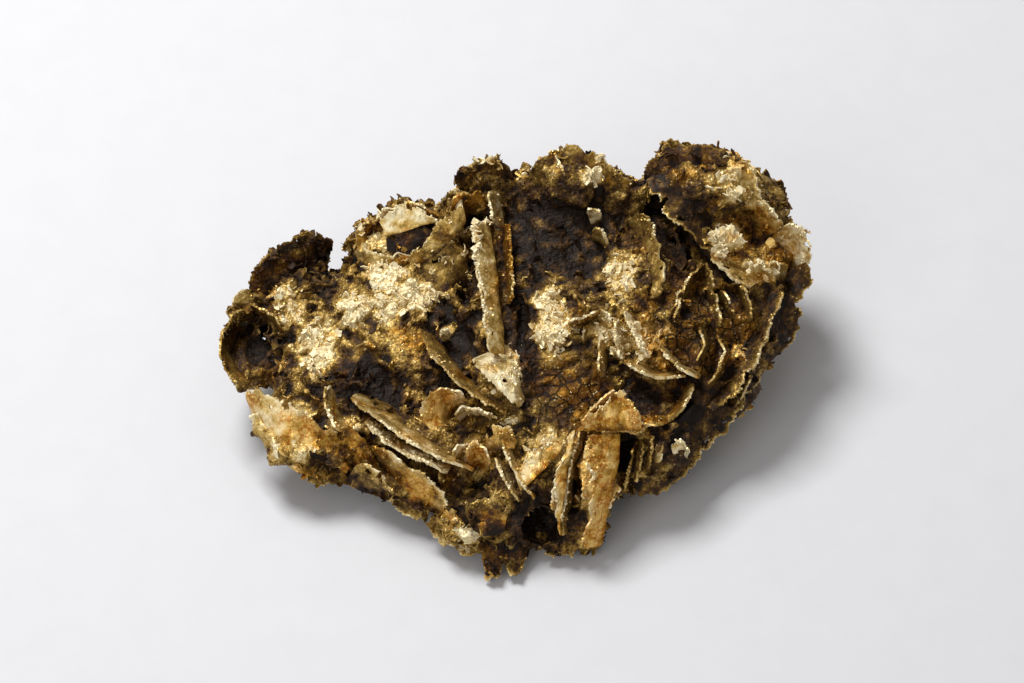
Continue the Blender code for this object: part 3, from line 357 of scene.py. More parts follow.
LEAVES = {
    "strut": (
        "gold",
        [(470, 222, 17.6), (479, 290, 15.9), (487, 352, 14.0)],
        [(489, 222, 15.6), (497, 290, 14.0), (502, 356, 11.6)],
    ),
    "strut_face": (
        "gold",
        [(470, 222, 17.8), (479, 290, 16.1), (487, 352, 14.2)],
        [(489, 222, 16.6), (498, 290, 14.8), (505, 354, 12.8)],
    ),
    "strut_foot": (
        "cream",
        [(467, 362, 13.2), (482, 374, 13.2), (499, 391, 12.8), (517, 410, 12.2)],
        [(484, 356, 12.2), (505, 345, 12.2), (521, 352, 11.2), (525, 398, 10.6)],
    ),
    "thin_blade": (
        "tan",
        [(421, 343, 11.6), (441, 368, 11.2), (463, 387, 11.0), (484, 403, 11.0), (503, 414, 11.0)],
        [(429, 332, 9.0), (449, 355, 9.0), (470, 379, 9.0), (488, 397, 9.4), (507, 411, 10.0)],
    ),
    "long_blade": (
        "gold",
        [(349, 400, 10.2), (379, 419, 10.4), (410, 440, 10.0), (440, 457, 9.2), (472, 471, 8.4)],
        [(358, 393, 7.3), (387, 410, 7.3), (418, 433, 6.9), (446, 449, 6.3), (476, 464, 5.5)],
    ),
    "second_blade": (
        "cream",
        [(364, 423, 9.4), (384, 439, 9.4), (406, 453, 9.0), (424, 462, 8.8), (446, 475, 8.0)],
        [(372, 416, 7.6), (392, 431, 7.0), (413, 445, 7.0), (432, 453, 6.8), (454, 462, 6.4)],
    ),
    "broad_sheet": (
        "amber",
        [
            (373, 437, 9.0), (402, 456, 8.8), (425, 470, 8.2),
            (441, 481, 7.2), (452, 500, 5.8), (459, 518, 4.2),
        ],
        [
            (377, 460, 5.6), (391, 476, 5.0), (405, 493, 4.4),
            (420, 502, 3.6), (438, 507, 3.0), (450, 522, 2.2),
        ],
    ),
    "apron": (
        "stained",
        [(243, 387, 9.2), (262, 389, 9.6), (290, 398, 9.4), (318, 416, 8.8)],
        [(254, 417, 5.6), (272, 438, 5.0), (297, 452, 4.6), (343, 468, 4.0)],
    ),
    "apron_right": (
        "orange",
        [(318, 424, 8.8), (345, 424, 8.6), (368, 434, 8.0)],
        [(322, 456, 4.6), (350, 468, 3.8), (384, 482, 3.2)],
    ),
    "ring_rim": (
        "brown",
        [
            (246, 305, 12.0), (230, 314, 11.5), (221, 333, 10.6),
            (219, 354, 10.0), (227, 377, 9.2), (243, 389, 9.2),
        ],
        [
            (253, 315, 7.4), (240, 324, 7.0), (232, 339, 6.6),
            (231, 354, 6.4), (238, 370, 6.2), (252, 380, 6.6),
        ],
    ),
    "ring_wall": (
        "brown",
        [(246, 303, 12.0), (262, 308, 12.0), (276, 316, 11.6), (284, 330, 10.8)],
        [(252, 316, 7.6), (264, 320, 7.6), (274, 326, 7.8), (280, 336, 7.8)],
    ),
    "left_lobe_rim": (
        "umber",
        [(240, 290, 11.0), (254, 263, 12.2), (277, 240, 13.2), (305, 228, 13.6), (333, 235, 13.0)],
        [(262, 297, 7.2), (274, 284, 7.4), (294, 271, 7.6), (312, 262, 8.0), (325, 254, 8.6)],
    ),
    "left_lobe_side": (
        "olive",
        [(222, 318, 10.8), (229, 300, 11.2), (243, 284, 11.4)],
        [(250, 318, 7.6), (258, 306, 7.4), (266, 296, 7.4)],
    ),
    "flap_face": (
        "cream",
        [(374, 214, 14.4), (388, 204, 15.4), (404, 198, 16.0), (422, 206, 16.0), (438, 216, 15.6)],
        [(386, 235, 13.2), (398, 232, 13.6), (408, 229, 14.0), (422, 224, 14.6), (436, 221, 15.0)],
    ),
    "cup_flap": (
        "stained",
        [(374, 214, 14.0), (389, 204, 15.0), (404, 199, 15.6), (423, 206, 15.8), (438, 214, 15.6)],
        [(382, 224, 13.6), (393, 219, 14.2), (406, 216, 14.8), (424, 214, 15.2), (436, 216, 15.2)],
    ),
    "cup_crust": (
        "brown",
        [(349, 248, 11.6), (353, 232, 12.8), (362, 222, 13.8), (376, 214, 14.2)],
        [(366, 254, 9.6), (370, 240, 10.6), (376, 232, 11.6), (386, 226, 12.6)],
    ),
    "cup_lip": (
        "gold",
        [(350, 244, 12.2), (370, 250, 12.2), (390, 252, 12.4), (414, 248, 12.8), (432, 234, 13.4)],
        [(358, 266, 8.0), (378, 270, 8.0), (400, 268, 8.0), (422, 260, 8.6), (438, 247, 9.4)],
    ),
    "diagonal_face": (
        "tan",
        [(462, 200, 17.8), (447, 213, 16.6), (427, 233, 15.0), (406, 255, 13.2)],
        [(466, 221, 16.0), (455, 235, 15.0), (438, 252, 13.4), (416, 267, 12.0)],
    ),
    "diagonal_sheet": (
        "cream",
        [(463, 191, 17.4), (463, 212, 16.4), (450, 227, 15.2), (431, 241, 13.8), (412, 249, 12.6)],
        [(452, 204, 13.6), (444, 217, 13.0), (436, 231, 12.0), (426, 243, 11.0), (412, 252, 10.0)],
    ),
    "veil": (
        "olive",
        [(414, 250, 12.8), (436, 243, 13.8), (462, 232, 15.2)],
        [(432, 300, 8.6), (450, 292, 8.8), (470, 284, 9.0)],
    ),
    "overhang": (
        "umber",
        [(450, 177, 18.6), (457, 166, 19.6), (474, 158, 20.0), (490, 155, 20.2), (506, 159, 20.0)],
        [(468, 196, 14.0), (476, 190, 14.4), (488, 187, 14.8), (502, 186, 15.0), (516, 184, 15.2)],
    ),
    "under_overhang": (
        "orange",
        [(447, 204, 16.6), (462, 193, 17.6), (480, 187, 18.0)],
        [(456, 222, 12.0), (470, 216, 12.4), (486, 208, 13.0)],
    ),
    "flake_column": (
        "gold",
        [(487, 188, 19.0), (490, 205, 18.2), (493, 224, 17.0)],
        [(503, 192, 14.4), (504, 208, 13.8), (506, 228, 13.0)],
    ),
    "crown_left": (
        "brown",
        [(527, 164, 19.6), (541, 157, 20.6), (556, 148, 21.2), (572, 142, 21.6), (585, 144, 21.6)],
        [(536, 186, 15.6), (548, 182, 16.0), (562, 178, 16.2), (576, 176, 16.4), (590, 174, 16.4)],
    ),
    "crown_right": (
        "brown",
        [(585, 144, 21.6), (600, 154, 21.0), (617, 167, 20.0), (634, 175, 19.2)],
        [(582, 178, 15.0), (594, 186, 14.6), (608, 194, 14.2), (626, 198, 14.0)],
    ),
    "crown_hook": (
        "cream",
        [(529, 163, 19.4), (541, 156, 20.4), (553, 152, 20.8), (561, 166, 19.6)],
        [(546, 178, 16.4), (553, 176, 16.6), (560, 176, 16.8), (566, 178, 16.6)],
    ),
    "crown_chip": (
        "cream",
        [(584, 166, 20.2), (594, 163, 20.4), (604, 170, 19.8)],
        [(588, 190, 16.4), (596, 189, 16.4), (604, 188, 16.4)],
    ),
    "upper_chip": (
        "cream",
        [(585, 206, 18.8), (594, 205, 18.8), (602, 210, 18.2)],
        [(592, 224, 14.8), (597, 223, 14.8), (602, 220, 14.8)],
    ),
    "lower_chip": (
        "gold",
        [(592, 226, 18.0), (602, 230, 17.6), (610, 240, 16.8)],
        [(593, 240, 14.4), (600, 243, 14.2), (606, 247, 13.8)],
    ),
    "ledge": (
        "orange",
        [(510, 222, 17.2), (511, 250, 16.6), (513, 278, 15.8), (512, 304, 15.0)],
        [(502, 226, 13.2), (503, 252, 12.8), (505, 280, 12.2), (505, 304, 11.6)],
    ),
    "crest_hook": (
        "umber",
        [(659, 142, 21.6), (667, 138, 22.0), (679, 137, 22.0), (688, 144, 21.6)],
        [(662, 160, 19.0), (668, 160, 19.0), (676, 158, 19.2), (684, 158, 19.2)],
    ),
    "slot_sheet": (
        "dark",
        [
            (639, 186, 19.4), (652, 197, 18.9), (660, 207, 18.4),
            (669, 216, 18.0), (682, 230, 17.3), (700, 252, 16.0),
        ],
        [
            (660, 170, 17.2), (674, 180, 16.8), (686, 190, 16.4),
            (697, 200, 16.0), (710, 218, 15.4), (722, 238, 14.6),
        ],
    ),
    "slot_wall": (
        "olive",
        [(641, 207, 17.4), (656, 224, 16.8), (661, 246, 16.2), (666, 272, 15.8), (660, 297, 15.4)],
        [(629, 222, 14.6), (639, 243, 14.4), (645, 262, 14.4), (648, 280, 14.2), (648, 300, 14.0)],
    ),
    "crest": (
        "umber",
        [
            (641, 173, 19.6), (652, 156, 20.8), (664, 143, 21.6),
            (684, 141, 22.0), (710, 141, 22.0), (744, 151, 21.2),
        ],
        [
            (654, 190, 15.0), (667, 176, 15.2), (680, 168, 15.4),
            (697, 166, 15.6), (715, 168, 15.6), (732, 176, 15.2),
        ],
    ),
    "crest_side": (
        "gold",
        [(744, 151, 21.2), (757, 173, 19.8), (764, 191, 18.8), (776, 211, 17.8), (790, 222, 17.0)],
        [(728, 178, 15.4), (738, 194, 14.6), (745, 208, 13.8), (754, 222, 13.0), (768, 236, 12.2)],
    ),
    "pale_sheet": (
        "cream",
        [(788, 221, 17.2), (803, 226, 16.6), (811, 242, 15.6), (815, 259, 14.6)],
        [(776, 240, 11.6), (786, 250, 10.8), (793, 262, 10.2), (797, 274, 9.6)],
    ),
    "flank_outer": (
        "shaded_moss",
        [
            (815, 259, 14.6), (812, 284, 12.2), (803, 304, 10.2),
            (807, 322, 8.8), (796, 343, 7.6), (779, 358, 6.8),
        ],
        [
            (792, 268, 8.0), (788, 288, 6.4), (782, 306, 5.4),
            (778, 322, 4.8), (770, 338, 4.2), (756, 352, 3.8),
        ],
    ),
    "flank_ridge": (
        "shaded_moss",
        [
            (788, 280, 13.8), (781, 300, 13.4), (768, 331, 12.4),
            (756, 361, 11.2), (738, 388, 9.8), (716, 414, 8.4),
        ],
        [
            (770, 290, 7.0), (764, 308, 6.6), (752, 334, 6.0),
            (740, 358, 5.4), (722, 382, 4.8), (702, 404, 4.2),
        ],
    ),
    "flank_lower": (
        "shaded_moss",
        [
            (779, 358, 6.8), (762, 380, 6.4), (746, 402, 6.0), (730, 427, 5.4),
            (700, 461, 4.6), (666, 491, 3.6), (640, 503, 3.0),
        ],
        [
            (756, 344, 8.4), (740, 366, 8.2), (724, 386, 7.8), (706, 404, 7.2),
            (680, 432, 6.4), (650, 460, 5.6), (630, 474, 5.0),
        ],
    ),
    "fan_ridge": (
        "gold",
        [(706, 256, 15.8), (718, 268, 15.8), (732, 280, 15.4), (746, 290, 14.8)],
        [(722, 250, 12.0), (735, 260, 12.0), (750, 270, 11.6), (762, 280, 11.0)],
    ),
    "fan_1": (
        "ridge",
        [(702, 262, 15.6), (686, 277, 15.4), (674, 296, 15.0), (662, 318, 14.2)],
        [(708, 268, 9.4), (694, 284, 9.2), (682, 302, 9.0), (672, 322, 8.6)],
    ),
    "fan_2": (
        "ridge",
        [(707, 262, 15.8), (714, 285, 15.2), (719, 306, 14.4), (722, 326, 13.6)],
        [(700, 266, 10.0), (706, 288, 9.6), (711, 308, 9.2), (714, 328, 8.8)],
    ),
    "fan_3": (
        "ridge",
        [(740, 284, 15.2), (748, 300, 14.6), (753, 320, 13.8)],
        [(733, 288, 9.8), (741, 304, 9.4), (746, 322, 8.8)],
    ),
    "fan_4": (
        "ridge",
        [(697, 328, 13.8), (702, 344, 13.2), (692, 362, 12.6)],
        [(704, 328, 8.4), (708, 345, 8.0), (699, 364, 7.6)],
    ),
    "fan_5": (
        "ridge",
        [(684, 278, 15.4), (678, 298, 15.0), (671, 322, 14.2)],
        [(690, 282, 9.6), (684, 302, 9.4), (678, 324, 9.0)],
    ),
    "fan_6": (
        "ridge",
        [(722, 290, 15.0), (730, 302, 14.4), (737, 317, 13.6)],
        [(716, 294, 9.6), (723, 306, 9.2), (730, 320, 8.8)],
    ),
    "fan_7": (
        "ridge",
        [(713, 336, 13.2), (723, 351, 12.6), (714, 372, 11.6), (704, 386, 11.0)],
        [(720, 334, 7.8), (730, 352, 7.4), (721, 374, 7.0), (710, 388, 6.8)],
    ),
    "flank_fold": (
        "shaded_moss",
        [(760, 362, 9.6), (748, 386, 8.8), (733, 410, 7.8)],
        [(750, 358, 5.4), (738, 381, 5.0), (724, 404, 4.6)],
    ),
    "gold_patch": (
        "gold",
        [(742, 268, 15.6), (758, 258, 15.8), (776, 254, 15.4), (790, 262, 14.4)],
        [(752, 288, 11.6), (764, 284, 11.4), (774, 280, 11.2), (786, 278, 10.6)],
    ),
    "cross_1": (
        "gold",
        [(650, 344, 13.6), (664, 358, 13.2), (678, 369, 12.8), (696, 380, 12.2)],
        [(655, 340, 8.6), (669, 353, 8.4), (683, 364, 8.2), (700, 374, 8.0)],
    ),
    "cross_2": (
        "ridge",
        [(694, 384, 11.6), (683, 402, 10.6), (668, 423, 9.4)],
        [(686, 382, 7.2), (675, 400, 6.6), (661, 420, 6.0)],
    ),
    "cross_3": (
        "gold",
        [(621, 364, 13.4), (636, 371, 12.8), (656, 379, 12.4), (684, 377, 12.0)],
        [(627, 358, 8.8), (641, 365, 8.6), (658, 373, 8.4), (683, 371, 8.2)],
    ),
    "cream_blade": (
        "cream",
        [(619, 311, 15.0), (627, 326, 14.6), (636, 343, 14.0), (646, 358, 13.2)],
        [(630, 312, 10.6), (638, 328, 10.4), (645, 343, 10.0), (652, 356, 9.6)],
    ),
    "plate": (
        "stained",
        [(416, 411, 9.8), (426, 396, 10.8), (440, 386, 11.2), (456, 385, 11.2), (468, 396, 10.6)],
        [(438, 436, 6.4), (444, 426, 6.8), (450, 417, 7.2), (456, 410, 7.4), (463, 405, 7.6)],
    ),
    "bright_curl": (
        "cream",
        [(455, 413, 10.8), (463, 405, 11.2), (479, 406, 11.2), (496, 415, 10.6)],
        [(460, 420, 6.4), (468, 414, 6.4), (482, 415, 6.4), (498, 421, 6.4)],
    ),
    "small_plate": (
        "stained",
        [(465, 449, 9.2), (474, 439, 9.8), (484, 441, 9.8), (492, 456, 9.2)],
        [(472, 471, 6.0), (478, 469, 6.0), (484, 469, 6.0), (489, 470, 6.0)],
    ),
    "twin_left": (
        "gold",
        [(493, 456, 9.6), (500, 469, 9.2), (508, 484, 8.4), (517, 500, 7.4)],
        [(499, 455, 4.6), (506, 467, 4.4), (514, 481, 4.0), (522, 495, 3.6)],
    ),
    "twin_right": (
        "gold",
        [(500, 438, 10.2), (508, 458, 9.6), (517, 478, 8.8), (530, 498, 7.6)],
        [(507, 437, 5.2), (515, 456, 4.8), (524, 475, 4.4), (536, 493, 4.0)],
    ),
    "notched_plate": (
        "honey",
        [(512, 462, 9.2), (526, 450, 9.8), (540, 446, 10.0), (550, 433, 10.6), (562, 434, 10.6)],
        [(524, 483, 5.6), (533, 474, 6.0), (545, 466, 6.2), (553, 457, 6.4), (560, 450, 6.6)],
    ),
    "front_blade": (
        "gold",
        [(576, 428, 11.2), (570, 451, 10.0), (565, 476, 8.6), (561, 502, 6.8), (559, 532, 4.4)],
        [(585, 430, 6.4), (579, 453, 5.6), (574, 478, 4.6), (570, 503, 3.2), (567, 530, 1.6)],
    ),
    "front_spur": (
        "stained",
        [(544, 500, 6.8), (551, 492, 7.4), (560, 484, 8.2)],
        [(562, 514, 4.6), (565, 506, 5.0), (568, 498, 5.2)],
    ),
    "orange_plate": (
        "honey",
        [(583, 413, 11.8), (597, 400, 12.6), (610, 389, 13.2), (619, 385, 13.4), (628, 400, 12.4)],
        [(588, 424, 8.4), (598, 422, 8.6), (608, 420, 8.8), (617, 418, 8.8), (628, 418, 8.6)],
    ),
    "shelf": (
        "orange",
        [(575, 419, 11.0), (600, 432, 10.4), (632, 433, 10.4), (650, 427, 10.6), (667, 424, 10.6)],
        [(586, 410, 9.6), (605, 414, 9.6), (630, 412, 9.6), (648, 412, 9.6), (662, 414, 9.2)],
    ),
    "column": (
        "honey",
        [(577, 434, 11.2), (585, 464, 9.6), (587, 494, 7.8), (584, 520, 5.6), (576, 545, 3.2)],
        [(618, 432, 10.2), (616, 460, 8.8), (609, 490, 6.6), (605, 517, 4.4), (599, 541, 2.4)],
    ),
    "column_leaf": (
        "stained",
        [(622, 485, 6.8), (617, 497, 6.0), (606, 515, 4.4)],
        [(608, 478, 4.4), (603, 493, 3.8), (596, 510, 2.8)],
    ),
    "shelf_prop_1": (
        "brown",
        [(642, 438, 9.0), (639, 462, 7.6), (635, 495, 5.0)],
        [(632, 440, 5.0), (630, 462, 4.4), (628, 490, 3.0)],
    ),
    "shelf_prop_2": (
        "gold",
        [(670, 433, 9.4), (663, 447, 8.6), (655, 462, 7.6)],
        [(662, 432, 5.4), (656, 444, 5.0), (650, 458, 4.6)],
    ),
    "glint_plate": (
        "cream",
        [(666, 438, 9.2), (680, 437, 9.2), (688, 448, 8.4)],
        [(672, 456, 6.0), (680, 457, 5.8), (684, 458, 5.6)],
    ),
    "left_stem": (
        "gold",
        [(322, 386, 10.4), (326, 404, 10.0), (332, 420, 9.6), (341, 432, 9.0)],
        [(334, 387, 6.4), (338, 403, 6.2), (343, 417, 6.0), (350, 428, 5.8)],
    ),
    "fringe_left": (
        "olive",
        [(268, 444, 3.8), (284, 458, 3.4), (300, 469, 3.0), (312, 483, 2.4), (336, 488, 2.0)],
        [(280, 434, 5.0), (296, 446, 4.8), (312, 456, 4.6), (326, 464, 4.4), (345, 470, 4.2)],
    ),
    "fringe_middle": (
        "olive",
        [(350, 488, 2.2), (372, 490, 2.2), (394, 502, 2.4), (402, 517, 1.8), (428, 518, 1.8)],
        [(356, 476, 4.4), (376, 480, 4.2), (398, 488, 4.0), (414, 496, 4.0), (432, 500, 4.0)],
    ),
    "fringe_toe": (
        "olive",
        [(428, 522, 2.2), (432, 537, 1.6), (447, 545, 1.2), (463, 554, 0.9), (481, 556, 0.9)],
        [(446, 508, 4.2), (456, 514, 3.8), (466, 521, 3.4), (476, 526, 3.0), (486, 530, 2.6)],
    ),
    "toe_tip": (
        "umber",
        [(482, 557, 1.4), (487, 575, 0.8), (498, 575, 0.8), (503, 560, 1.4)],
        [(482, 536, 2.6), (489, 536, 2.6), (497, 536, 2.6), (504, 536, 2.6)],
    ),
    "toe_knob": (
        "umber",
        [(503, 562, 1.4), (511, 572, 0.9), (521, 569, 0.9), (527, 553, 1.4)],
        [(504, 540, 2.4), (511, 540, 2.4), (519, 539, 2.4), (526, 537, 2.4)],
    ),
    "heel_edge": (
        "brown",
        [(530, 549, 1.6), (545, 554, 1.2), (562, 556, 1.0), (580, 552, 1.0), (598, 545, 1.2)],
        [(536, 528, 3.0), (550, 530, 2.8), (564, 531, 2.6), (578, 530, 2.6), (590, 526, 2.8)],
    ),
    "hatch_upright": (
        "gold",
        [(596, 340, 14.4), (598, 358, 13.8), (597, 377, 12.8)],
        [(604, 340, 13.0), (606, 358, 12.4), (604, 376, 11.6)],
    ),
    "hatch_level": (
        "gold",
        [(566, 322, 15.6), (580, 317, 15.6), (598, 309, 15.6)],
        [(570, 329, 13.0), (584, 324, 13.0), (601, 317, 13.0)],
    ),
    "hatch_strand": (
        "cream",
        [(611, 320, 15.2), (613, 340, 14.6), (618, 360, 13.8)],
        [(619, 319, 13.6), (621, 339, 13.0), (626, 357, 12.2)],
    ),
    "cream_triangle": (
        "cream",
        [(599, 306, 15.8), (604, 312, 15.6), (610, 322, 15.2)],
        [(597, 318, 13.8), (600, 322, 13.6), (604, 325, 13.4)],
    ),
    "lower_sheet": (
        "olive",
        [(362, 458, 7.0), (376, 466, 6.8), (388, 477, 6.2), (398, 490, 5.2)],
        [(351, 474, 4.2), (364, 483, 3.8), (378, 489, 3.4), (391, 496, 3.0)],
    ),
    "ear": (
        "cream",
        [(452, 450, 9.6), (459, 442, 9.8), (468, 440, 9.6)],
        [(459, 459, 6.8), (464, 456, 6.8), (469, 450, 6.8)],
    ),
    "orange_face": (
        "honey",
        [
            (578, 418, 12.2), (592, 407, 12.9), (606, 396, 13.5),
            (620, 386, 14.0), (630, 400, 13.2), (640, 417, 12.0),
        ],
        [
            (582, 427, 10.8), (594, 428, 11.0), (606, 429, 11.0),
            (618, 429, 11.0), (628, 428, 11.0), (638, 427, 10.8),
        ],
    ),
    # Painted shade: a dark sheet standing in the deep cup
    "cup_shade_sheet": (
        "shade",
        [(384, 231, 13.2), (404, 227, 13.8), (434, 221, 14.8)],
        [(386, 250, 12.2), (404, 254, 12.2), (424, 246, 12.8)],
    ),
    # Painted shade: a dark sheet standing in the deep slot
    "slot_shade_sheet": (
        "shade",
        [(651, 206, 15.6), (672, 226, 15.2), (695, 252, 14.2)],
        [(657, 243, 13.2), (664, 265, 12.4), (674, 282, 12.0)],
    ),
    "prop_short": (
        "brown",
        [(653, 434, 9.6), (651, 450, 8.6), (648, 468, 7.6)],
        [(645, 434, 5.4), (644, 450, 5.0), (642, 466, 4.6)],
    ),
    "prop_long": (
        "brown",
        [(630, 440, 9.4), (626, 464, 7.8), (622, 494, 5.6)],
        [(637, 440, 5.4), (633, 462, 4.8), (629, 490, 3.6)],
    ),
    "white_crust": (
        "cream",
        [(708, 233, 18.0), (718, 225, 18.4), (732, 226, 18.2), (744, 238, 17.4)],
        [(712, 246, 16.6), (720, 250, 16.4), (732, 252, 16.0), (741, 249, 15.8)],
    ),
    "notched_face": (
        "stained",
        [(512, 462, 8.8), (526, 449, 9.8), (540, 446, 10.2), (550, 433, 10.4), (562, 434, 10.2)],
        [(521, 488, 7.3), (530, 480, 8.3), (538, 472, 9.0), (549, 461, 9.3), (560, 449, 9.5)],
    ),
    "under_curl": (
        "tan",
        [(482, 437, 8.6), (493, 424, 9.6), (508, 423, 10.2), (518, 436, 10.2)],
        [(488, 449, 7.6), (498, 448, 8.4), (507, 447, 8.8), (515, 447, 9.2)],
    ),
    "front_fold": (
        "brown",
        [(464, 506, 6.0), (480, 493, 6.2), (497, 493, 6.9), (508, 503, 6.6)],
        [(474, 526, 4.7), (484, 532, 4.3), (495, 532, 4.3), (504, 527, 4.7)],
    ),
    "blade_face": (
        "stained",
        [(566, 436, 10.1), (558, 462, 9.2), (548, 488, 7.7), (553, 508, 6.2), (556, 530, 4.0)],
        [(576, 429, 11.0), (570, 452, 9.8), (565, 477, 8.4), (561, 503, 6.6), (559, 532, 4.2)],
    ),
    "white_knob": (
        "cream",
        [(440, 333, 11.6), (445, 329, 12.0), (450, 331, 11.8)],
        [(441, 341, 10.0), (446, 341, 10.0), (450, 340, 10.0)],
    ),
}

# Leaves that are the outward half of a folded one, and two dark sheets of painted shade in the cup and the
# slot: their roots are at the given heights, not in the mass.
FOLDED_FACES_AND_SHADE_SHEETS = (
    "strut_face",
    "flap_face",
    "diagonal_face",
    "cup_shade_sheet",
    "slot_shade_sheet",
    "orange_face",
    "column",
    "white_crust",
    "notched_face",
    "under_curl",
    "front_fold",
    "blade_face",
)

# Leaves on the far side and beneath: bearing from the origin in degrees, distance from it to the root and to
# the free edge in millimetres, height of each, and width. Bearing 0 is the right, and 90 the back.
FAR_LEAVES = {
    "far_1": (32, (21, 27.0), (9.0, 7.0), 9),
    "far_2": (48, (18, 23.5), (12.0, 14.5), 8),
    "far_3": (60, (16, 21.0), (9.0, 6.5), 9),
    "far_4": (76, (14, 19.5), (13.0, 16.0), 8),
    "far_5": (90, (13, 18.5), (8.0, 6.0), 10),
    "far_6": (104, (14, 19.5), (12.0, 14.5), 8),
    "far_7": (118, (15, 20.0), (7.0, 5.0), 9),
    "far_8": (134, (17, 22.5), (9.5, 11.5), 8),
    "far_9": (150, (19, 25.5), (7.0, 5.5), 8),
    "low_1": (15, (18, 24.0), (4.0, 2.4), 9),
    "low_2": (68, (9, 14.5), (3.6, 1.6), 9),
    "low_3": (122, (9, 14.5), (3.4, 1.4), 9),
    "low_4": (172, (17, 23.5), (4.6, 3.4), 8),
}
FAR_TONES = ("brown", "gold", "olive")


def spot(place):
    """The point of the frame for (across, down, height in millimetres)."""
    across, down, height = place
    z = height * MM
    up_in_view = (MIDDLE_DOWN - down) * STEP
    y = (up_in_view - z * math.cos(VIEW_ELEVATION)) / math.sin(VIEW_ELEVATION)
    return Vector(((across - MIDDLE_ACROSS) * STEP, y, z))


def across_down(points):
    """Where an array of points shows in the view, in steps."""
    across = points[:, 0] / STEP + MIDDLE_ACROSS
    up_in_view = points[:, 1] * math.sin(VIEW_ELEVATION) + points[:, 2] * math.cos(VIEW_ELEVATION)
    return across, MIDDLE_DOWN - up_in_view / STEP


def smooth_step(low, high, values):
    """0 up to low, 1 from high, and a smooth rise between. It falls where high is below low."""
    share = np.clip((values - low) / (high - low), 0, 1)
    return share * share * (3 - 2 * share)


def patch_strength(points, patches, which=2):
    """How strongly any of the patches covers each point, by the numbers at one place in their rows."""
    across, down = across_down(points)
    strongest = np.zeros(len(points))
    for patch in patches:
        (middle_across, middle_down), (wide, high) = patch[:2]
        distance = np.hypot((across - middle_across) / wide, (down - middle_down) / high)
        strongest = np.maximum(strongest, patch[which] * smooth_step(1.3, 0.5, distance))
    return strongest


def noise_at(points, spacing, shift=0.0):
    moved = points / spacing + shift
    return np.array([noise.noise(point) for point in moved])


def coordinates(mesh):
    values = np.empty(len(mesh.vertices) * 3, np.float32)
    mesh.vertices.foreach_get("co", values)
    return values.reshape(-1, 3).astype(float)


def normals_of(mesh):
    values = np.empty(len(mesh.vertices) * 3, np.float32)
    mesh.vertices.foreach_get("normal", values)
    return values.reshape(-1, 3).astype(float)


def set_coordinates(mesh, points):
    mesh.vertices.foreach_set("co", points.astype(np.float32).ravel())
    mesh.update()


def keep_inside(mesh):
    """Brings back to the solid's box the few tips that pass it."""
    set_coordinates(mesh, np.clip(coordinates(mesh), *CAD_BOX))


def add_values(mesh, name, values):
    attribute = mesh.attributes.new(name, "FLOAT", "POINT")
    attribute.data.foreach_set("value", np.asarray(values, np.float32))


def neighbour_mean(mesh, values, rounds):
    """The values of each vertex and its neighbours averaged, several times over."""
    ends = np.empty(len(mesh.edges) * 2, np.int32)
    mesh.edges.foreach_get("vertices", ends)
    first, second = ends.reshape(-1, 2).T
    count = np.bincount(ends, minlength=len(mesh.vertices))[:, None]
    values = values.reshape(len(mesh.vertices), -1)
    for _ in range(rounds):
        total = np.zeros_like(values)
        np.add.at(total, first, values[second])
        np.add.at(total, second, values[first])
        values = (values + total) / (count + 1)
    return values


def new_object(bm, name):
    mesh = bpy.data.meshes.new(name)
    bm.to_mesh(mesh)
    bm.free()
    obj = bpy.data.objects.new(name, mesh)
    bpy.context.scene.collection.objects.link(obj)
    return obj


def settle(obj):
    """Applies the object's modifiers to its mesh."""
    bpy.context.view_layer.update()
    evaluated = obj.evaluated_get(bpy.context.evaluated_depsgraph_get())
    mesh = bpy.data.meshes.new_from_object(evaluated)
    obj.modifiers.clear()
    obj.data = mesh


def thicken(obj, thickness):
    """Gives a sheet its thickness, half of it to each side."""
    solidify = obj.modifiers.new("Thickness", "SOLIDIFY")
    solidify.thickness = thickness
    solidify.offset = 0
    settle(obj)


def fuse(obj, voxel):
    """Runs everything in the object together as one closed skin."""
    remesh = obj.modifiers.new("Run together", "REMESH")
    remesh.mode = "VOXEL"
    remesh.voxel_size = voxel
    settle(obj)


def turned(turns):
    """The matrix of a turn in degrees about x, y and z."""
    return Euler([math.radians(turn) for turn in turns]).to_matrix()


def add_ellipsoid(bm, place, half_sizes, turns=(0, 0, 0), subdivisions=4):
    points = bmesh.ops.create_icosphere(bm, subdivisions=subdivisions, radius=1)["verts"]
    bmesh.ops.scale(bm, vec=[size * MM for size in half_sizes], verts=points)
    bmesh.ops.rotate(bm, cent=(0, 0, 0), matrix=turned(turns), verts=points)
    bmesh.ops.translate(bm, vec=spot(place), verts=points)


def cut(obj, cutter):
    """Cuts the cutter's solids out of the object, and removes the cutter."""
    boolean = obj.modifiers.new("Cut", "BOOLEAN")
    boolean.operation = "DIFFERENCE"
    boolean.object = cutter
    boolean.solver = "EXACT"
    boolean.use_self = True
    settle(obj)
    bpy.data.objects.remove(cutter)


def crumple(point):
    """How far the mass stands out at a point: broad swellings, and lumps with sharp grooves between."""
    broad = noise.noise(point / SWELL[0]) * SWELL[1]
    near, next_near = noise.voronoi(point / CRUMPLE[0])[0][:2]
    return broad + (next_near - near - 0.35) * CRUMPLE[1] * 2


def make_mass():
    """The crumpled mass that the leaves stand on, as in the solid."""
    bm = bmesh.new()
    for place, half_sizes, turns in LUMPS.values():
        add_ellipsoid(bm, place, half_sizes, turns)
    mass = new_object(bm, "nugget_mass")
    fuse(mass, MASS_VOXEL)
    smooth = mass.modifiers.new("Soften", "SMOOTH")
    smooth.iterations = 6
    settle(mass)
    normals = [vertex.normal.copy() for vertex in mass.data.vertices]
    for vertex, normal in zip(mass.data.vertices, normals):
        vertex.co += normal * crumple(vertex.co)
    fuse(mass, MASS_VOXEL)
    bm = bmesh.new()
    for place, half_sizes, turns in HOLLOWS.values():
        add_ellipsoid(bm, place, half_sizes, turns, subdivisions=2)
    cut(mass, new_object(bm, "hollows"))
    return mass


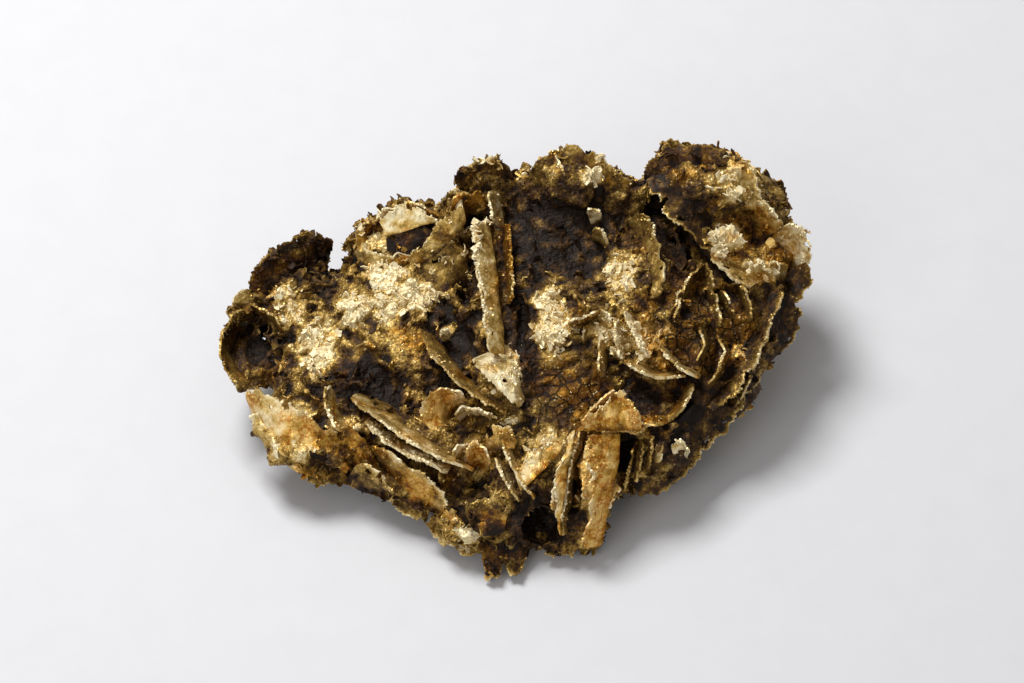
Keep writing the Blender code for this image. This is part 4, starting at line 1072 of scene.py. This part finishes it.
def add_shards(bm, mass):
    """The small leaves that stand out of the mass at odd angles, in the same places as in the solid."""
    chance = Random(11)
    for _ in range(SHARDS):
        outward = Vector([chance.gauss(0, 1) for _ in range(3)]).normalized()
        outward.z = abs(outward.z) * 0.8 - 0.1
        aim = Vector((chance.uniform(-0.45, 0.45), chance.uniform(-0.25, 0.25), 0.15)) * LENGTH
        hit, at, normal, _ = mass.ray_cast(aim + outward * LENGTH, -outward)
        turn = chance.uniform(0, 360)
        size = SHARD * chance.uniform(0.7, 1.3)
        if not hit or at.z < 2 * MM:
            continue
        lean = chance.uniform(-30, 30)
        facing = normal.dot(TO_VIEW)
        if facing < -0.4:
            size *= FAR_SHARD
            lean = 55 + lean / 3
        elif facing < 0.25:
            size *= 0.6
        corners = bmesh.ops.create_cube(bm, size=1)["verts"]
        bmesh.ops.scale(bm, vec=(1.5 * size, SHARD_THICKNESS, size), verts=corners)
        bmesh.ops.rotate(bm, cent=(0, 0, 0), matrix=turned((lean, 0, turn)), verts=corners)
        bmesh.ops.rotate(bm, cent=(0, 0, 0), matrix=normal.to_track_quat("Z", "Y").to_matrix(), verts=corners)
        bmesh.ops.translate(bm, vec=at, verts=corners)


def grain(points, sizes, shift=0.0):
    """Relief of lumps with sharp grooves between them, at several sizes."""
    height = np.zeros(len(points))
    for spacing, depth in sizes:
        moved = points / spacing + shift
        pairs = np.array([noise.voronoi(point)[0][:2] for point in moved])
        height += (np.clip(pairs[:, 1] - pairs[:, 0], 0, 0.7) - 0.35) * depth * 2
    return height


def paint_body(mesh):
    """Where the mass shows bare gold, rust and crystals, and painted shade in its creases and hollows, from
    its patches, its folds and chance.
    """
    points = coordinates(mesh)
    normals = normals_of(mesh)
    broad = neighbour_mean(mesh, points, 14)
    ridge = np.clip(((points - broad) * normals).sum(1) / (0.3 * MM), -1, 1)
    wander = noise_at(points, 4.0 * MM, 3.0)
    mottle = noise_at(points, 1.3 * MM, 9.0)
    torn = points + np.stack([mottle, wander, mottle], 1) * 1.2 * MM
    gold = patch_strength(torn, GOLD_PATCHES)
    thick = patch_strength(torn, GOLD_PATCHES, 3)
    dark = patch_strength(torn, DARK_OXIDE_AND_SHADE_PATCHES)
    rust = patch_strength(torn, RUST_PATCHES)
    smooth = patch_strength(points, SMOOTH_PATCHES)
    # What the view doesn't show has no patches of its own, so chance decides there.
    facing = smooth_step(-0.2, 0.2, normals @ np.array(TO_VIEW))
    gold = facing * gold + (1 - facing) * np.clip(0.1 + 0.9 * wander, 0, 1)
    thick = facing * thick + (1 - facing) * np.clip(0.7 * wander, 0, 1)
    dark = facing * dark + (1 - facing) * np.clip(0.35 - 0.6 * wander, 0, 1)
    cracked = facing * patch_strength(torn, CRACKED_PATCHES)
    # The dark patches darken it, partly as painted shade; creases darken it as painted shade and folds
    # lighten it
    bare = 0.38 + 0.6 * gold - 0.28 * dark + 0.16 * ridge + 0.25 * mottle * (1 - cracked)
    add_values(mesh, "bare", np.clip(bare, 0, 1))
    stained = noise_at(points, 2.6 * MM, 21.0)
    add_values(mesh, "rust", np.clip(0.3 + 0.6 * rust + 0.5 * stained - 0.3 * gold, 0, 1))
    # Painted shade: darker in the creases and in the dark patches
    add_values(mesh, "hollow", np.clip(0.15 - 0.7 * ridge + 0.2 * dark, 0, 1))
    add_values(mesh, "crust", np.clip(1.2 * thick - 0.3 + 0.6 * mottle + 0.2 * ridge, 0, 1))
    add_values(mesh, "cracked", cracked)
    add_values(mesh, "scale", np.clip(0.7 + 0.5 * mottle - 0.5 * dark - 0.3 * gold, 0, 1) * (1 - smooth))
    edge_on = smooth_step(0.75, 0.15, normals @ np.array(TO_VIEW))
    flaked = (0.1 + 0.9 * edge_on) * (0.4 + 0.5 * ridge + mottle) * (1 - gold)
    add_values(mesh, "flake", np.clip(flaked, 0, 1) * (1 - smooth))


def make_body(mass):
    """The fine skin of the mass and its shards."""
    bm = bmesh.new()
    bm.from_mesh(mass.data)
    add_shards(bm, mass)
    body = new_object(bm, "nugget_body")
    fuse(body, BODY_VOXEL)
    normals = normals_of(body.data)
    points = coordinates(body.data)
    rough = 1 - 0.7 * patch_strength(points, SMOOTH_PATCHES)
    raised = points + normals * (grain(points, BODY_GRAIN) * rough)[:, None]
    raised[:, 2] = np.maximum(raised[:, 2], 0)
    set_coordinates(body.data, raised)
    paint_body(body.data)
    return body


def shown(mass, place):
    """The point of the mass that shows at the place's (across, down), or None where the view passes it."""
    hit, at, _, _ = mass.ray_cast(spot((*place[:2], SIGHT)), -TO_VIEW)
    return at if hit else None


def edge_point(mass, place):
    """Where a leaf's free edge is: at the given height, and always clear of the mass that shows there."""
    at = shown(mass, place)
    return spot(place) if at is None else spot((*place[:2], max(place[2], at.z / MM + EDGE_STANDS)))


def root_point(mass, place):
    """Where a leaf meets the mass: just under its skin, or at the given height where there is none."""
    at = shown(mass, place)
    return spot(place) if at is None else at - TO_VIEW * ROOT_SINKS


def along(points, share):
    """The point at a share of the way along a line through the points."""
    at = min(max(share, 0) * (len(points) - 1), len(points) - 1.000001)
    index = int(at)
    return points[index].lerp(points[index + 1], at - index)


def length_of(points):
    return sum((b - a).length for a, b in zip(points, points[1:]))


def add_leaf(bm, layers, tone, edge, root, reach, seed):
    """A fine leaf between its free edge and its root, with torn teeth, holes and relief."""
    around = Vector((seed * 7.3, seed * 3.1, seed * 1.7))
    bare_of_tone, rust_of_tone, edge_highlight_of_tone = TONES[tone]
    depth = ((edge[0] - root[0]).length + (edge[-1] - root[-1]).length) / 2
    columns = max(3, round(max(length_of(edge), length_of(root)) / LEAF_CELL))
    rows = max(3, round(depth * reach / LEAF_CELL))
    made = bmesh.ops.create_grid(bm, x_segments=columns, y_segments=rows, size=0.5)["verts"]
    lost = []
    for vertex in made:
        # share runs along the leaf, inward from the free edge to the root, and free back from it. The
        # rounding takes off the leaf's corners.
        share = vertex.co.x + 0.5
        rounding = 0.22 * abs(2 * share - 1) ** 6
        inward = ((0.5 - vertex.co.y) * (1 - rounding) + rounding) * reach
        outer = along(edge, share)
        step_in = along(root, share) - outer
        point = outer + step_in * inward
        free = max(0, 1 - inward)
        ragged = noise.noise(point / (1.9 * MM) + around) * LEAF_RAGGED * free
        sideways = step_in.cross(along(edge, min(share + 0.1, 1)) - along(edge, share - 0.1 * (share > 0.9)))
        sideways.normalize()
        wave = noise.noise(point / (3.1 * MM) - around) * LEAF_WAVE
        teeth = 0
        for spacing, depth_of_teeth in TEETH:
            teeth -= abs(noise.noise(outer / spacing + around)) * depth_of_teeth * 2 * free**2
        relief = 0
        for spacing, height in LEAF_GRAIN:
            near, next_near = noise.voronoi(point / spacing + around)[0][:2]
            relief += (min(next_near - near, 0.7) - 0.35) * 2 * height
        if free > 0.7 and noise.noise(point / HOLE[0] - around * 2) > HOLE[1]:
            lost.append(vertex)
        # Painted highlight: the free edge is painted paler. Painted shade: the leaf darkens towards its root
        # in the mass.
        vertex[layers["bare"]] = bare_of_tone + edge_highlight_of_tone * free**10 - 0.6 * max(0, 0.3 - free)
        streak = noise.noise(point / (2.2 * MM) + around)
        vertex[layers["rust"]] = rust_of_tone + 0.45 * streak - 0.3 * free**8
        # Painted shade towards the root and in the grooves of the relief
        vertex[layers["hollow"]] = max(0, 0.5 - 1.4 * free) - relief / (0.6 * MM)
        patchy = noise.noise(point / (1.7 * MM) + around) + 0.2
        spread = 0.4 * (tone == "cream") * free + 0.15 * free
        vertex[layers["crust"]] = max(0, min(1, 2 * patchy)) * (free**8 + spread)
        vertex.co = point - step_in.normalized() * (ragged + teeth) + sideways * (wave + relief)
        vertex.co.z = max(vertex.co.z, LEAF_THICKNESS / 2)
    bmesh.ops.delete(bm, geom=lost, context="VERTS")


def far_leaf(bearing, reaches, heights, width):
    """The free edge and the root of a leaf on the far side, which bulges outward in its middle."""
    lines = []
    for reach, height in zip(reversed(reaches), reversed(heights)):
        line = []
        for side, bulge in ((-0.5, -1.4), (-0.2, 0), (0.2, 0.2), (0.5, -1.0)):
            angle = math.radians(bearing) + side * width / reach
            distance = (reach + bulge) * MM
            line.append(Vector((distance * math.cos(angle), distance * math.sin(angle), height * MM)))
        lines.append(line)
    return lines


def make_leaves(mass):
    """The leaves, as one piece for the left, the middle, the right and the far side."""
    groups = {}
    for seed, (name, (tone, edge, root)) in enumerate(LEAVES.items()):
        middle = edge[len(edge) // 2][0]
        side = "left" if middle < 430 else "middle" if middle < 600 else "right"
        free_edge = [edge_point(mass, place) for place in edge]
        roots_given = name in FOLDED_FACES_AND_SHADE_SHEETS
        foot = [spot(place) if roots_given else root_point(mass, place) for place in root]
        groups.setdefault(side, []).append((tone, free_edge, foot, 1 if roots_given else ROOT_REACH, seed))
    for seed, numbers in enumerate(FAR_LEAVES.values(), len(LEAVES)):
        edge, root = far_leaf(*numbers)
        tone = FAR_TONES[seed % len(FAR_TONES)]
        groups.setdefault("far", []).append((tone, edge, root, ROOT_REACH, seed))
    pieces = []
    for side, leaves in groups.items():
        bm = bmesh.new()
        layers = {name: bm.verts.layers.float.new(name) for name in ("bare", "rust", "hollow", "crust")}
        for tone, edge, root, reach, seed in leaves:
            add_leaf(bm, layers, tone, edge, root, reach, seed)
        leaf = new_object(bm, f"{side}_leaves")
        thicken(leaf, LEAF_THICKNESS)
        points = coordinates(leaf.data)
        torn = points + noise_at(points, 1.1 * MM, 5.0)[:, None] * 1.2 * MM
        add_values(leaf.data, "plate", patch_strength(torn, LEAF_CRUSTS))
        add_values(leaf.data, "flake", patch_strength(torn, LEAF_FRINGES))
        pieces.append(leaf)
    return pieces


def keep_to_copy(obj, shapes):
    """Moves an object out of the scene, to a collection of shapes that are copied."""
    shapes.objects.link(obj)
    bpy.context.scene.collection.objects.unlink(obj)


def make_flake_shapes():
    """A few small torn and bent leaves to copy, which stand up along Z from their root at the origin."""
    shapes = bpy.data.collections.new("flake_shapes")
    for number in range(5):
        bm = bmesh.new()
        points = bmesh.ops.create_grid(bm, x_segments=4, y_segments=3, size=0.5)["verts"]
        around = Vector((number * 3.7, number * 1.9, 0.5))
        for point in points:
            along_edge, up = point.co.x, point.co.y + 0.5
            torn = noise.noise(point.co * 3.1 + around) * 0.45
            spread = 1.2 + 0.5 * up * math.sin(number * 2.0)
            bent = 0.25 * math.sin(along_edge * 4 + number) + 0.18 * noise.noise(point.co * 2.3 - around)
            point.co = (along_edge * spread, bent, (up * 1.25 - 0.35) + torn * up - 0.9 * up * along_edge**2)
        flake = new_object(bm, f"flake_{number}")
        thicken(flake, FLAKE_THICKNESS)
        keep_to_copy(flake, shapes)
    return shapes


def make_scale_shapes():
    """A few small flat crystals to copy, with uneven outlines."""
    shapes = bpy.data.collections.new("scale_shapes")
    for number in range(4):
        bm = bmesh.new()
        points = bmesh.ops.create_uvsphere(bm, u_segments=5, v_segments=2, radius=1)["verts"]
        for point in points:
            if abs(point.co.z) < 0.5:
                point.co *= 0.6 + 0.8 * noise.cell(point.co * 5 + Vector((number * 7, 0, 0)))
            point.co.z *= 0.12
        keep_to_copy(new_object(bm, f"scale_{number}"), shapes)
    return shapes


def make_crystal_shapes():
    """A few crystals to copy: an octahedron, a cube with cut corners, and a flat plate."""
    shapes = bpy.data.collections.new("crystal_shapes")
    for name, (segments, rings, height) in CRYSTAL_SHAPES.items():
        bm = bmesh.new()
        points = bmesh.ops.create_uvsphere(bm, u_segments=segments, v_segments=rings, radius=1)["verts"]
        bmesh.ops.scale(bm, vec=(1, 1, height), verts=points)
        keep_to_copy(new_object(bm, name), shapes)
    return shapes


def growth_tree():
    """Geometry nodes that grow crystals on a surface, as densely as one of its attributes says."""
    tree = bpy.data.node_groups.new("Crystal growth", "GeometryNodeTree")
    sockets = {}
    for name, kind in (
        ("Surface", "NodeSocketGeometry"),
        ("Shapes", "NodeSocketCollection"),
        ("Where", "NodeSocketString"),
        ("Per square metre", "NodeSocketFloat"),
        ("Upright", "NodeSocketFloat"),
        ("Smallest", "NodeSocketFloat"),
        ("Largest", "NodeSocketFloat"),
        ("Seed", "NodeSocketInt"),
        ("Finish", "NodeSocketMaterial"),
    ):
        sockets[name] = tree.interface.new_socket(name, in_out="INPUT", socket_type=kind).identifier
    tree.interface.new_socket("Crystals", in_out="OUTPUT", socket_type="NodeSocketGeometry")

    def node(kind, settings=None, values=None):
        made = tree.nodes.new(kind)
        for name, value in (settings or {}).items():
            setattr(made, name, value)
        for name, value in (values or {}).items():
            if isinstance(value, bpy.types.NodeSocket):
                tree.links.new(value, made.inputs[name])
            else:
                made.inputs[name].default_value = value
        return made

    given = node("NodeGroupInput").outputs
    where = node("GeometryNodeInputNamedAttribute", {"data_type": "FLOAT"}, {"Name": given["Where"]})
    share = where.outputs["Attribute"]
    density = node("ShaderNodeMath", {"operation": "MULTIPLY"}, {0: share, 1: given["Per square metre"]})
    scattered = node(
        "GeometryNodeDistributePointsOnFaces",
        {"distribute_method": "RANDOM"},
        {"Mesh": given["Surface"], "Density": density.outputs[0], "Seed": given["Seed"]},
    )
    seed = given["Seed"]
    corner = (-1, -1, -1)
    chance = node("FunctionNodeRandomValue", {"data_type": "FLOAT_VECTOR"}, {"Min": corner, "Seed": seed})
    normal = scattered.outputs["Normal"]
    upright = node("ShaderNodeVectorMath", {"operation": "SCALE"}, {0: normal, "Scale": given["Upright"]})
    aim = node(
        "ShaderNodeVectorMath", {"operation": "ADD"}, {0: chance.outputs["Value"], 1: upright.outputs[0]}
    )
    stood = node("FunctionNodeAlignRotationToVector", {"axis": "Z"}, {"Vector": aim.outputs[0]})
    spin = node("FunctionNodeRandomValue", {"data_type": "FLOAT"}, {3: math.tau, "Seed": seed})
    spun = node("FunctionNodeAxisAngleToRotation", values={"Angle": spin.outputs[1]})
    turn = node(
        "FunctionNodeRotateRotation",
        {"rotation_space": "LOCAL"},
        {"Rotation": stood.outputs[0], "Rotate By": spun.outputs[0]},
    )
    size = node(
        "FunctionNodeRandomValue",
        {"data_type": "FLOAT"},
        {2: given["Smallest"], 3: given["Largest"], "Seed": seed},
    )
    shapes = node(
        "GeometryNodeCollectionInfo",
        values={"Collection": given["Shapes"], "Separate Children": True, "Reset Children": True},
    ).outputs["Instances"]
    copies = node(
        "GeometryNodeInstanceOnPoints",
        values={
            "Points": scattered.outputs["Points"],
            "Instance": shapes,
            "Pick Instance": True,
            "Rotation": turn.outputs[0],
            "Scale": size.outputs[1],
        },
    )
    real = node("GeometryNodeRealizeInstances", values={"Geometry": copies.outputs["Instances"]})
    finished = node(
        "GeometryNodeSetMaterial", values={"Geometry": real.outputs["Geometry"], "Material": given["Finish"]}
    )
    node("NodeGroupOutput", values={"Crystals": finished.outputs["Geometry"]})
    return tree, sockets


def grow(name, surface, tree, sockets, settings):
    """Grows crystals on a surface and returns them as a piece of their own."""
    host = bpy.data.objects.new(name, surface.data.copy())
    bpy.context.scene.collection.objects.link(host)
    modifier = host.modifiers.new("Crystal growth", "NODES")
    modifier.node_group = tree
    for label, value in settings.items():
        modifier[sockets[label]] = value
    settle(host)
    return host


class Signal:
    """An output socket of a material. Arithmetic on signals adds Math nodes."""

    def __init__(self, tree, socket):
        self.tree = tree
        self.socket = socket

    def node(self, kind, settings=None, values=None, output=0):
        """Any other node, from its settings and the values or signals of its sockets."""
        made = self.tree.nodes.new(kind)
        for name, value in (settings or {}).items():
            if name == "stops":
                ramp = made.color_ramp
                while len(ramp.elements) < len(value):
                    ramp.elements.new(0.5)
                for element, (place, colour) in zip(ramp.elements, value):
                    element.position = place
                    element.color = colour
            else:
                setattr(made, name, value)
        for name, value in (values or {}).items():
            if isinstance(value, Signal):
                self.tree.links.new(value.socket, made.inputs[name])
            else:
                made.inputs[name].default_value = value
        return Signal(self.tree, made.outputs[output]) if len(made.outputs) else None

    def maths(self, operation, first, second):
        return self.node("ShaderNodeMath", {"operation": operation}, {0: first, 1: second})

    def __add__(self, other):
        return self.maths("ADD", self, other)

    __radd__ = __add__

    def __mul__(self, other):
        return self.maths("MULTIPLY", self, other)

    __rmul__ = __mul__

    def __sub__(self, other):
        return self.maths("SUBTRACT", self, other)

    def __rsub__(self, other):
        return self.maths("SUBTRACT", other, self)

    def magnitude(self):
        return self.maths("ABSOLUTE", self, 0)

    def ramp(self, low, high):
        """0 up to low, 1 from high, and a smooth rise between."""
        return self.node(
            "ShaderNodeMapRange",
            {"interpolation_type": "SMOOTHSTEP"},
            {"Value": self, "From Min": low, "From Max": high},
        )

    def colours(self, stops):
        return self.node("ShaderNodeValToRGB", {"stops": stops}, {"Fac": self})

    def times(self, colour):
        """This colour multiplied by another."""
        settings = {"data_type": "RGBA", "blend_type": "MULTIPLY"}
        return self.node("ShaderNodeMix", settings, {0: 1.0, 6: self, 7: colour}, output=2)

    def attribute(self, name):
        return self.node("ShaderNodeAttribute", {"attribute_name": name}, output="Fac")

    def noise(self, spacing, detail=4.0, roughness=0.6):
        return self.node(
            "ShaderNodeTexNoise",
            values={"Vector": self, "Scale": 1 / spacing, "Detail": detail, "Roughness": roughness},
        )

    def cells(self, spacing, feature="F1", output="Distance"):
        settings = {"feature": feature}
        if feature == "F1":
            settings["distance"] = "MANHATTAN"
        return self.node("ShaderNodeTexVoronoi", settings, {"Vector": self, "Scale": 1 / spacing}, output)


def rgb(red, green, blue):
    """A colour from its display values, 0 to 255."""
    return (*((value / 255) ** 2.2 for value in (red, green, blue)), 1)


# From the darkest oxide and painted shade to the barest gold and painted edge highlights
GOLDS = [
    (0.08, rgb(30, 20, 10)),
    (0.28, rgb(72, 50, 26)),
    (0.42, rgb(122, 95, 46)),
    (0.56, rgb(174, 142, 76)),
    (0.72, rgb(208, 178, 112)),
    (0.95, rgb(244, 230, 190)),
]


def mix_colours(share, first, second):
    """The second colour where share is 1, and the first where it is 0."""
    return share.node("ShaderNodeMix", {"data_type": "RGBA"}, {0: share, 6: first, 7: second}, output=2)


RUST_TINT = rgb(246, 214, 136)
VEIN_TINT = rgb(206, 154, 84)
CRACK_COLOUR = rgb(24, 16, 9)
# The colour of the painted glints
GLINT_COLOUR = rgb(236, 214, 160)
FLOOR_COLOURS = (rgb(204, 204, 207), rgb(210, 210, 213))

# Spacing, detail and roughness of each noise in the finishes
SPECKLE = (0.28 * MM, 5.0, 0.7)
MOTTLE = (1.5 * MM, 5.0, 0.65)
STAIN = (2.4 * MM, 4.0, 0.6)
VEINS = (1.9 * MM, 5.0, 0.62)
GLINT_SPACING = 0.15 * MM
CRACK_SPACING = 1.2 * MM

# How the finishes differ, one value for each: how much barer the gold is, the share of each pattern and of
# the painted glints, and the spacings, strength and height of the relief.
FINISH_NAMES = ("crumpled_oxide", "leaf_gold", "crystal_gold", "pale_gold")
FINISH_VALUES = {
    "extra_bare": (0.0, -0.04, 0.08, 0.36),
    "speckle": (0.9, 0.55, 0.4, 0.3),
    "mottle": (0.8, 1.5, 0.4, 0.4),
    "cracks": (0.9, 0.0, 0.0, 0.0),
    "glint": (0.7, 0.35, 0.8, 0.2),
    "veins": (0.3, 0.9, 0.0, 0.2),
    "metal": (0.6, 0.75, 0.85, 0.6),
    "facet": (0.3 * MM, 0.26 * MM, 0.2 * MM, 0.3 * MM),
    "lump": (0.8 * MM, 0.8 * MM, 0.5 * MM, 0.8 * MM),
    "bump": (0.7, 0.5, 0.3, 0.4),
    "relief": (0.13 * MM, 0.05 * MM, 0.03 * MM, 0.04 * MM),
}


def make_finish(name, looks):
    """Gold with oxide on it, with painted shade in its hollows and painted glints. Its mesh says how bare,
    rusty and shaded each place is.
    """
    material = bpy.data.materials.new(name)
    material.use_nodes = True
    tree = material.node_tree
    tree.nodes.clear()
    place = Signal(tree, tree.nodes.new("ShaderNodeTexCoord").outputs["Object"])
    speckle = place.noise(*SPECKLE)
    mottle = place.noise(*MOTTLE)
    stain = place.noise(*STAIN)
    glint_cells = place.cells(GLINT_SPACING, output="Color")
    glint_cells = glint_cells.node("ShaderNodeSeparateColor", values={"Color": glint_cells}, output=0)
    # Painted shade in the hollows: it darkens the colour and keeps the glints out of them
    hollow = (place.attribute("hollow") + (speckle - 0.5) * 0.5).ramp(0.25, 1.0)
    bare = place.attribute("bare") + looks["extra_bare"]
    block = place.attribute("cracked") * looks["cracks"]
    calm = 1 - block * 0.75
    bare = bare + (speckle - 0.5) * looks["speckle"] * calm
    bare = bare + (mottle - 0.5) * looks["mottle"] * calm - hollow * 0.3
    colour = bare.colours(GOLDS)
    rusty = (place.attribute("rust") + (stain - 0.5) * 1.3).ramp(0.35, 0.8)
    colour = mix_colours(rusty * 0.85, colour, colour.times(RUST_TINT))
    crease = (place.noise(*VEINS) - 0.5).magnitude()
    vein = (1 - crease.ramp(0.0, 0.045)) * rusty
    colour = mix_colours(vein * looks["veins"], colour, colour.times(VEIN_TINT))
    cracks = (place.cells(CRACK_SPACING, "DISTANCE_TO_EDGE") + (speckle - 0.5) * 0.15).ramp(0.02, 0.12)
    cracked = (1 - cracks) * block
    colour = mix_colours(cracked, colour, CRACK_COLOUR)
    # Painted glints: pale specks on random cells where the gold is bare, as tiny facets catching the light
    glint = glint_cells.ramp(0.94, 0.97) * (1 - hollow) * bare.ramp(0.25, 0.5) * looks["glint"]
    colour = mix_colours(glint, colour, GLINT_COLOUR)
    metal = bare.ramp(0.25, 0.5) * looks["metal"] - bare.ramp(0.7, 0.95) * 0.35
    metal = metal + glint - metal * glint
    height = place.cells(looks["facet"]) * 0.5 + place.cells(looks["lump"]) * 0.6
    height = height + speckle * 0.3 - cracked
    bump = height.node(
        "ShaderNodeBump", values={"Height": height, "Strength": looks["bump"], "Distance": looks["relief"]}
    )
    shader = place.node(
        "ShaderNodeBsdfPrincipled",
        values={
            "Base Color": colour,
            "Metallic": metal,
            "Roughness": 0.6 - 0.15 * metal + (speckle - 0.5) * 0.3,
            "Normal": bump,
            "Specular IOR Level": 0.2,
        },
    )
    shader.node("ShaderNodeOutputMaterial", values={"Surface": shader})
    return material


def make_floor():
    """A plain pale floor, far larger than the view."""
    bm = bmesh.new()
    bmesh.ops.create_grid(bm, x_segments=1, y_segments=1, size=3)
    floor = new_object(bm, "floor")
    material = bpy.data.materials.new("pale_floor")
    material.use_nodes = True
    tree = material.node_tree
    place = Signal(tree, tree.nodes.new("ShaderNodeTexCoord").outputs["Object"])
    shade = mix_colours(place.noise(4 * MM), *FLOOR_COLOURS)
    shader = tree.nodes["Principled BSDF"]
    tree.links.new(shade.socket, shader.inputs["Base Color"])
    shader.inputs["Roughness"].default_value = 0.7
    floor.data.materials.append(material)


def light_studio():
    """Plain soft light: a large lamp from behind on the left, a weak one in front, and a pale room."""
    world = bpy.data.worlds.new("studio")
    world.use_nodes = True
    background = world.node_tree.nodes["Background"]
    background.inputs["Color"].default_value = ROOM_COLOUR
    background.inputs["Strength"].default_value = ROOM_LIGHT
    bpy.context.scene.world = world
    for name, (place, size, power) in LAMPS.items():
        light = bpy.data.lights.new(name, "AREA")
        light.size = size
        light.energy = power
        lamp = bpy.data.objects.new(name, light)
        lamp.location = place
        lamp.rotation_euler = (Vector(LIT_POINT) - Vector(place)).to_track_quat("-Z", "Y").to_euler()
        bpy.context.scene.collection.objects.link(lamp)
    bpy.context.scene.view_settings.view_transform = "Standard"


def aim_camera():
    """The photograph's view: from in front and 50 degrees above."""
    camera = bpy.data.cameras.new("camera")
    camera.lens = LENS
    camera.sensor_width = SENSOR_WIDTH
    camera.clip_start = 10 * MM
    obj = bpy.data.objects.new("camera", camera)
    bpy.context.scene.collection.objects.link(obj)
    distance = PICTURE_WIDTH * STEP * LENS / SENSOR_WIDTH
    obj.location = spot(LOOKED_AT) + TO_VIEW * distance
    obj.rotation_euler = (math.radians(90) - VIEW_ELEVATION, 0, 0)
    bpy.context.scene.camera = obj


def grow_all(body, leaves, finishes):
    """Every growth on the body and then on each group of leaves, as (piece, finish)."""
    tree, sockets = growth_tree()
    shapes = {"crystals": make_crystal_shapes(), "flakes": make_flake_shapes(), "scales": make_scale_shapes()}
    wanted = [(f"{kind}_on_body", body, values) for kind, values in BODY_GROWTHS.items()]
    for leaf in leaves:
        wanted += [(f"{kind}_on_{leaf.name}", leaf, values) for kind, values in LEAF_GROWTHS.items()]
    grown = []
    for seed, (name, surface, values) in enumerate(wanted):
        copied, where, density, (smallest, largest), upright, finish = values
        settings = {
            "Shapes": shapes[copied],
            "Where": where,
            "Per square metre": density,
            "Upright": upright,
            "Smallest": smallest * MM,
            "Largest": largest * MM,
            "Seed": seed,
            "Finish": finishes[finish],
        }
        grown.append((grow(name, surface, tree, sockets, settings), finishes[finish]))
    return grown


def main():
    mass = make_mass()
    body = make_body(mass)
    leaves = make_leaves(mass)
    bpy.data.objects.remove(mass)
    finishes = {}
    for number, name in enumerate(FINISH_NAMES):
        looks = {label: values[number] for label, values in FINISH_VALUES.items()}
        finishes[name] = make_finish(name, looks)
    pieces = [(body, finishes["crumpled_oxide"])] + [(leaf, finishes["leaf_gold"]) for leaf in leaves]
    pieces += grow_all(body, leaves, finishes)
    for piece, finish in pieces:
        keep_inside(piece.data)
        piece.data.materials.clear()
        piece.data.materials.append(finish)
        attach(piece, "root")
    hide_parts("gold_nugget")
    make_floor()
    light_studio()
    aim_camera()


main()
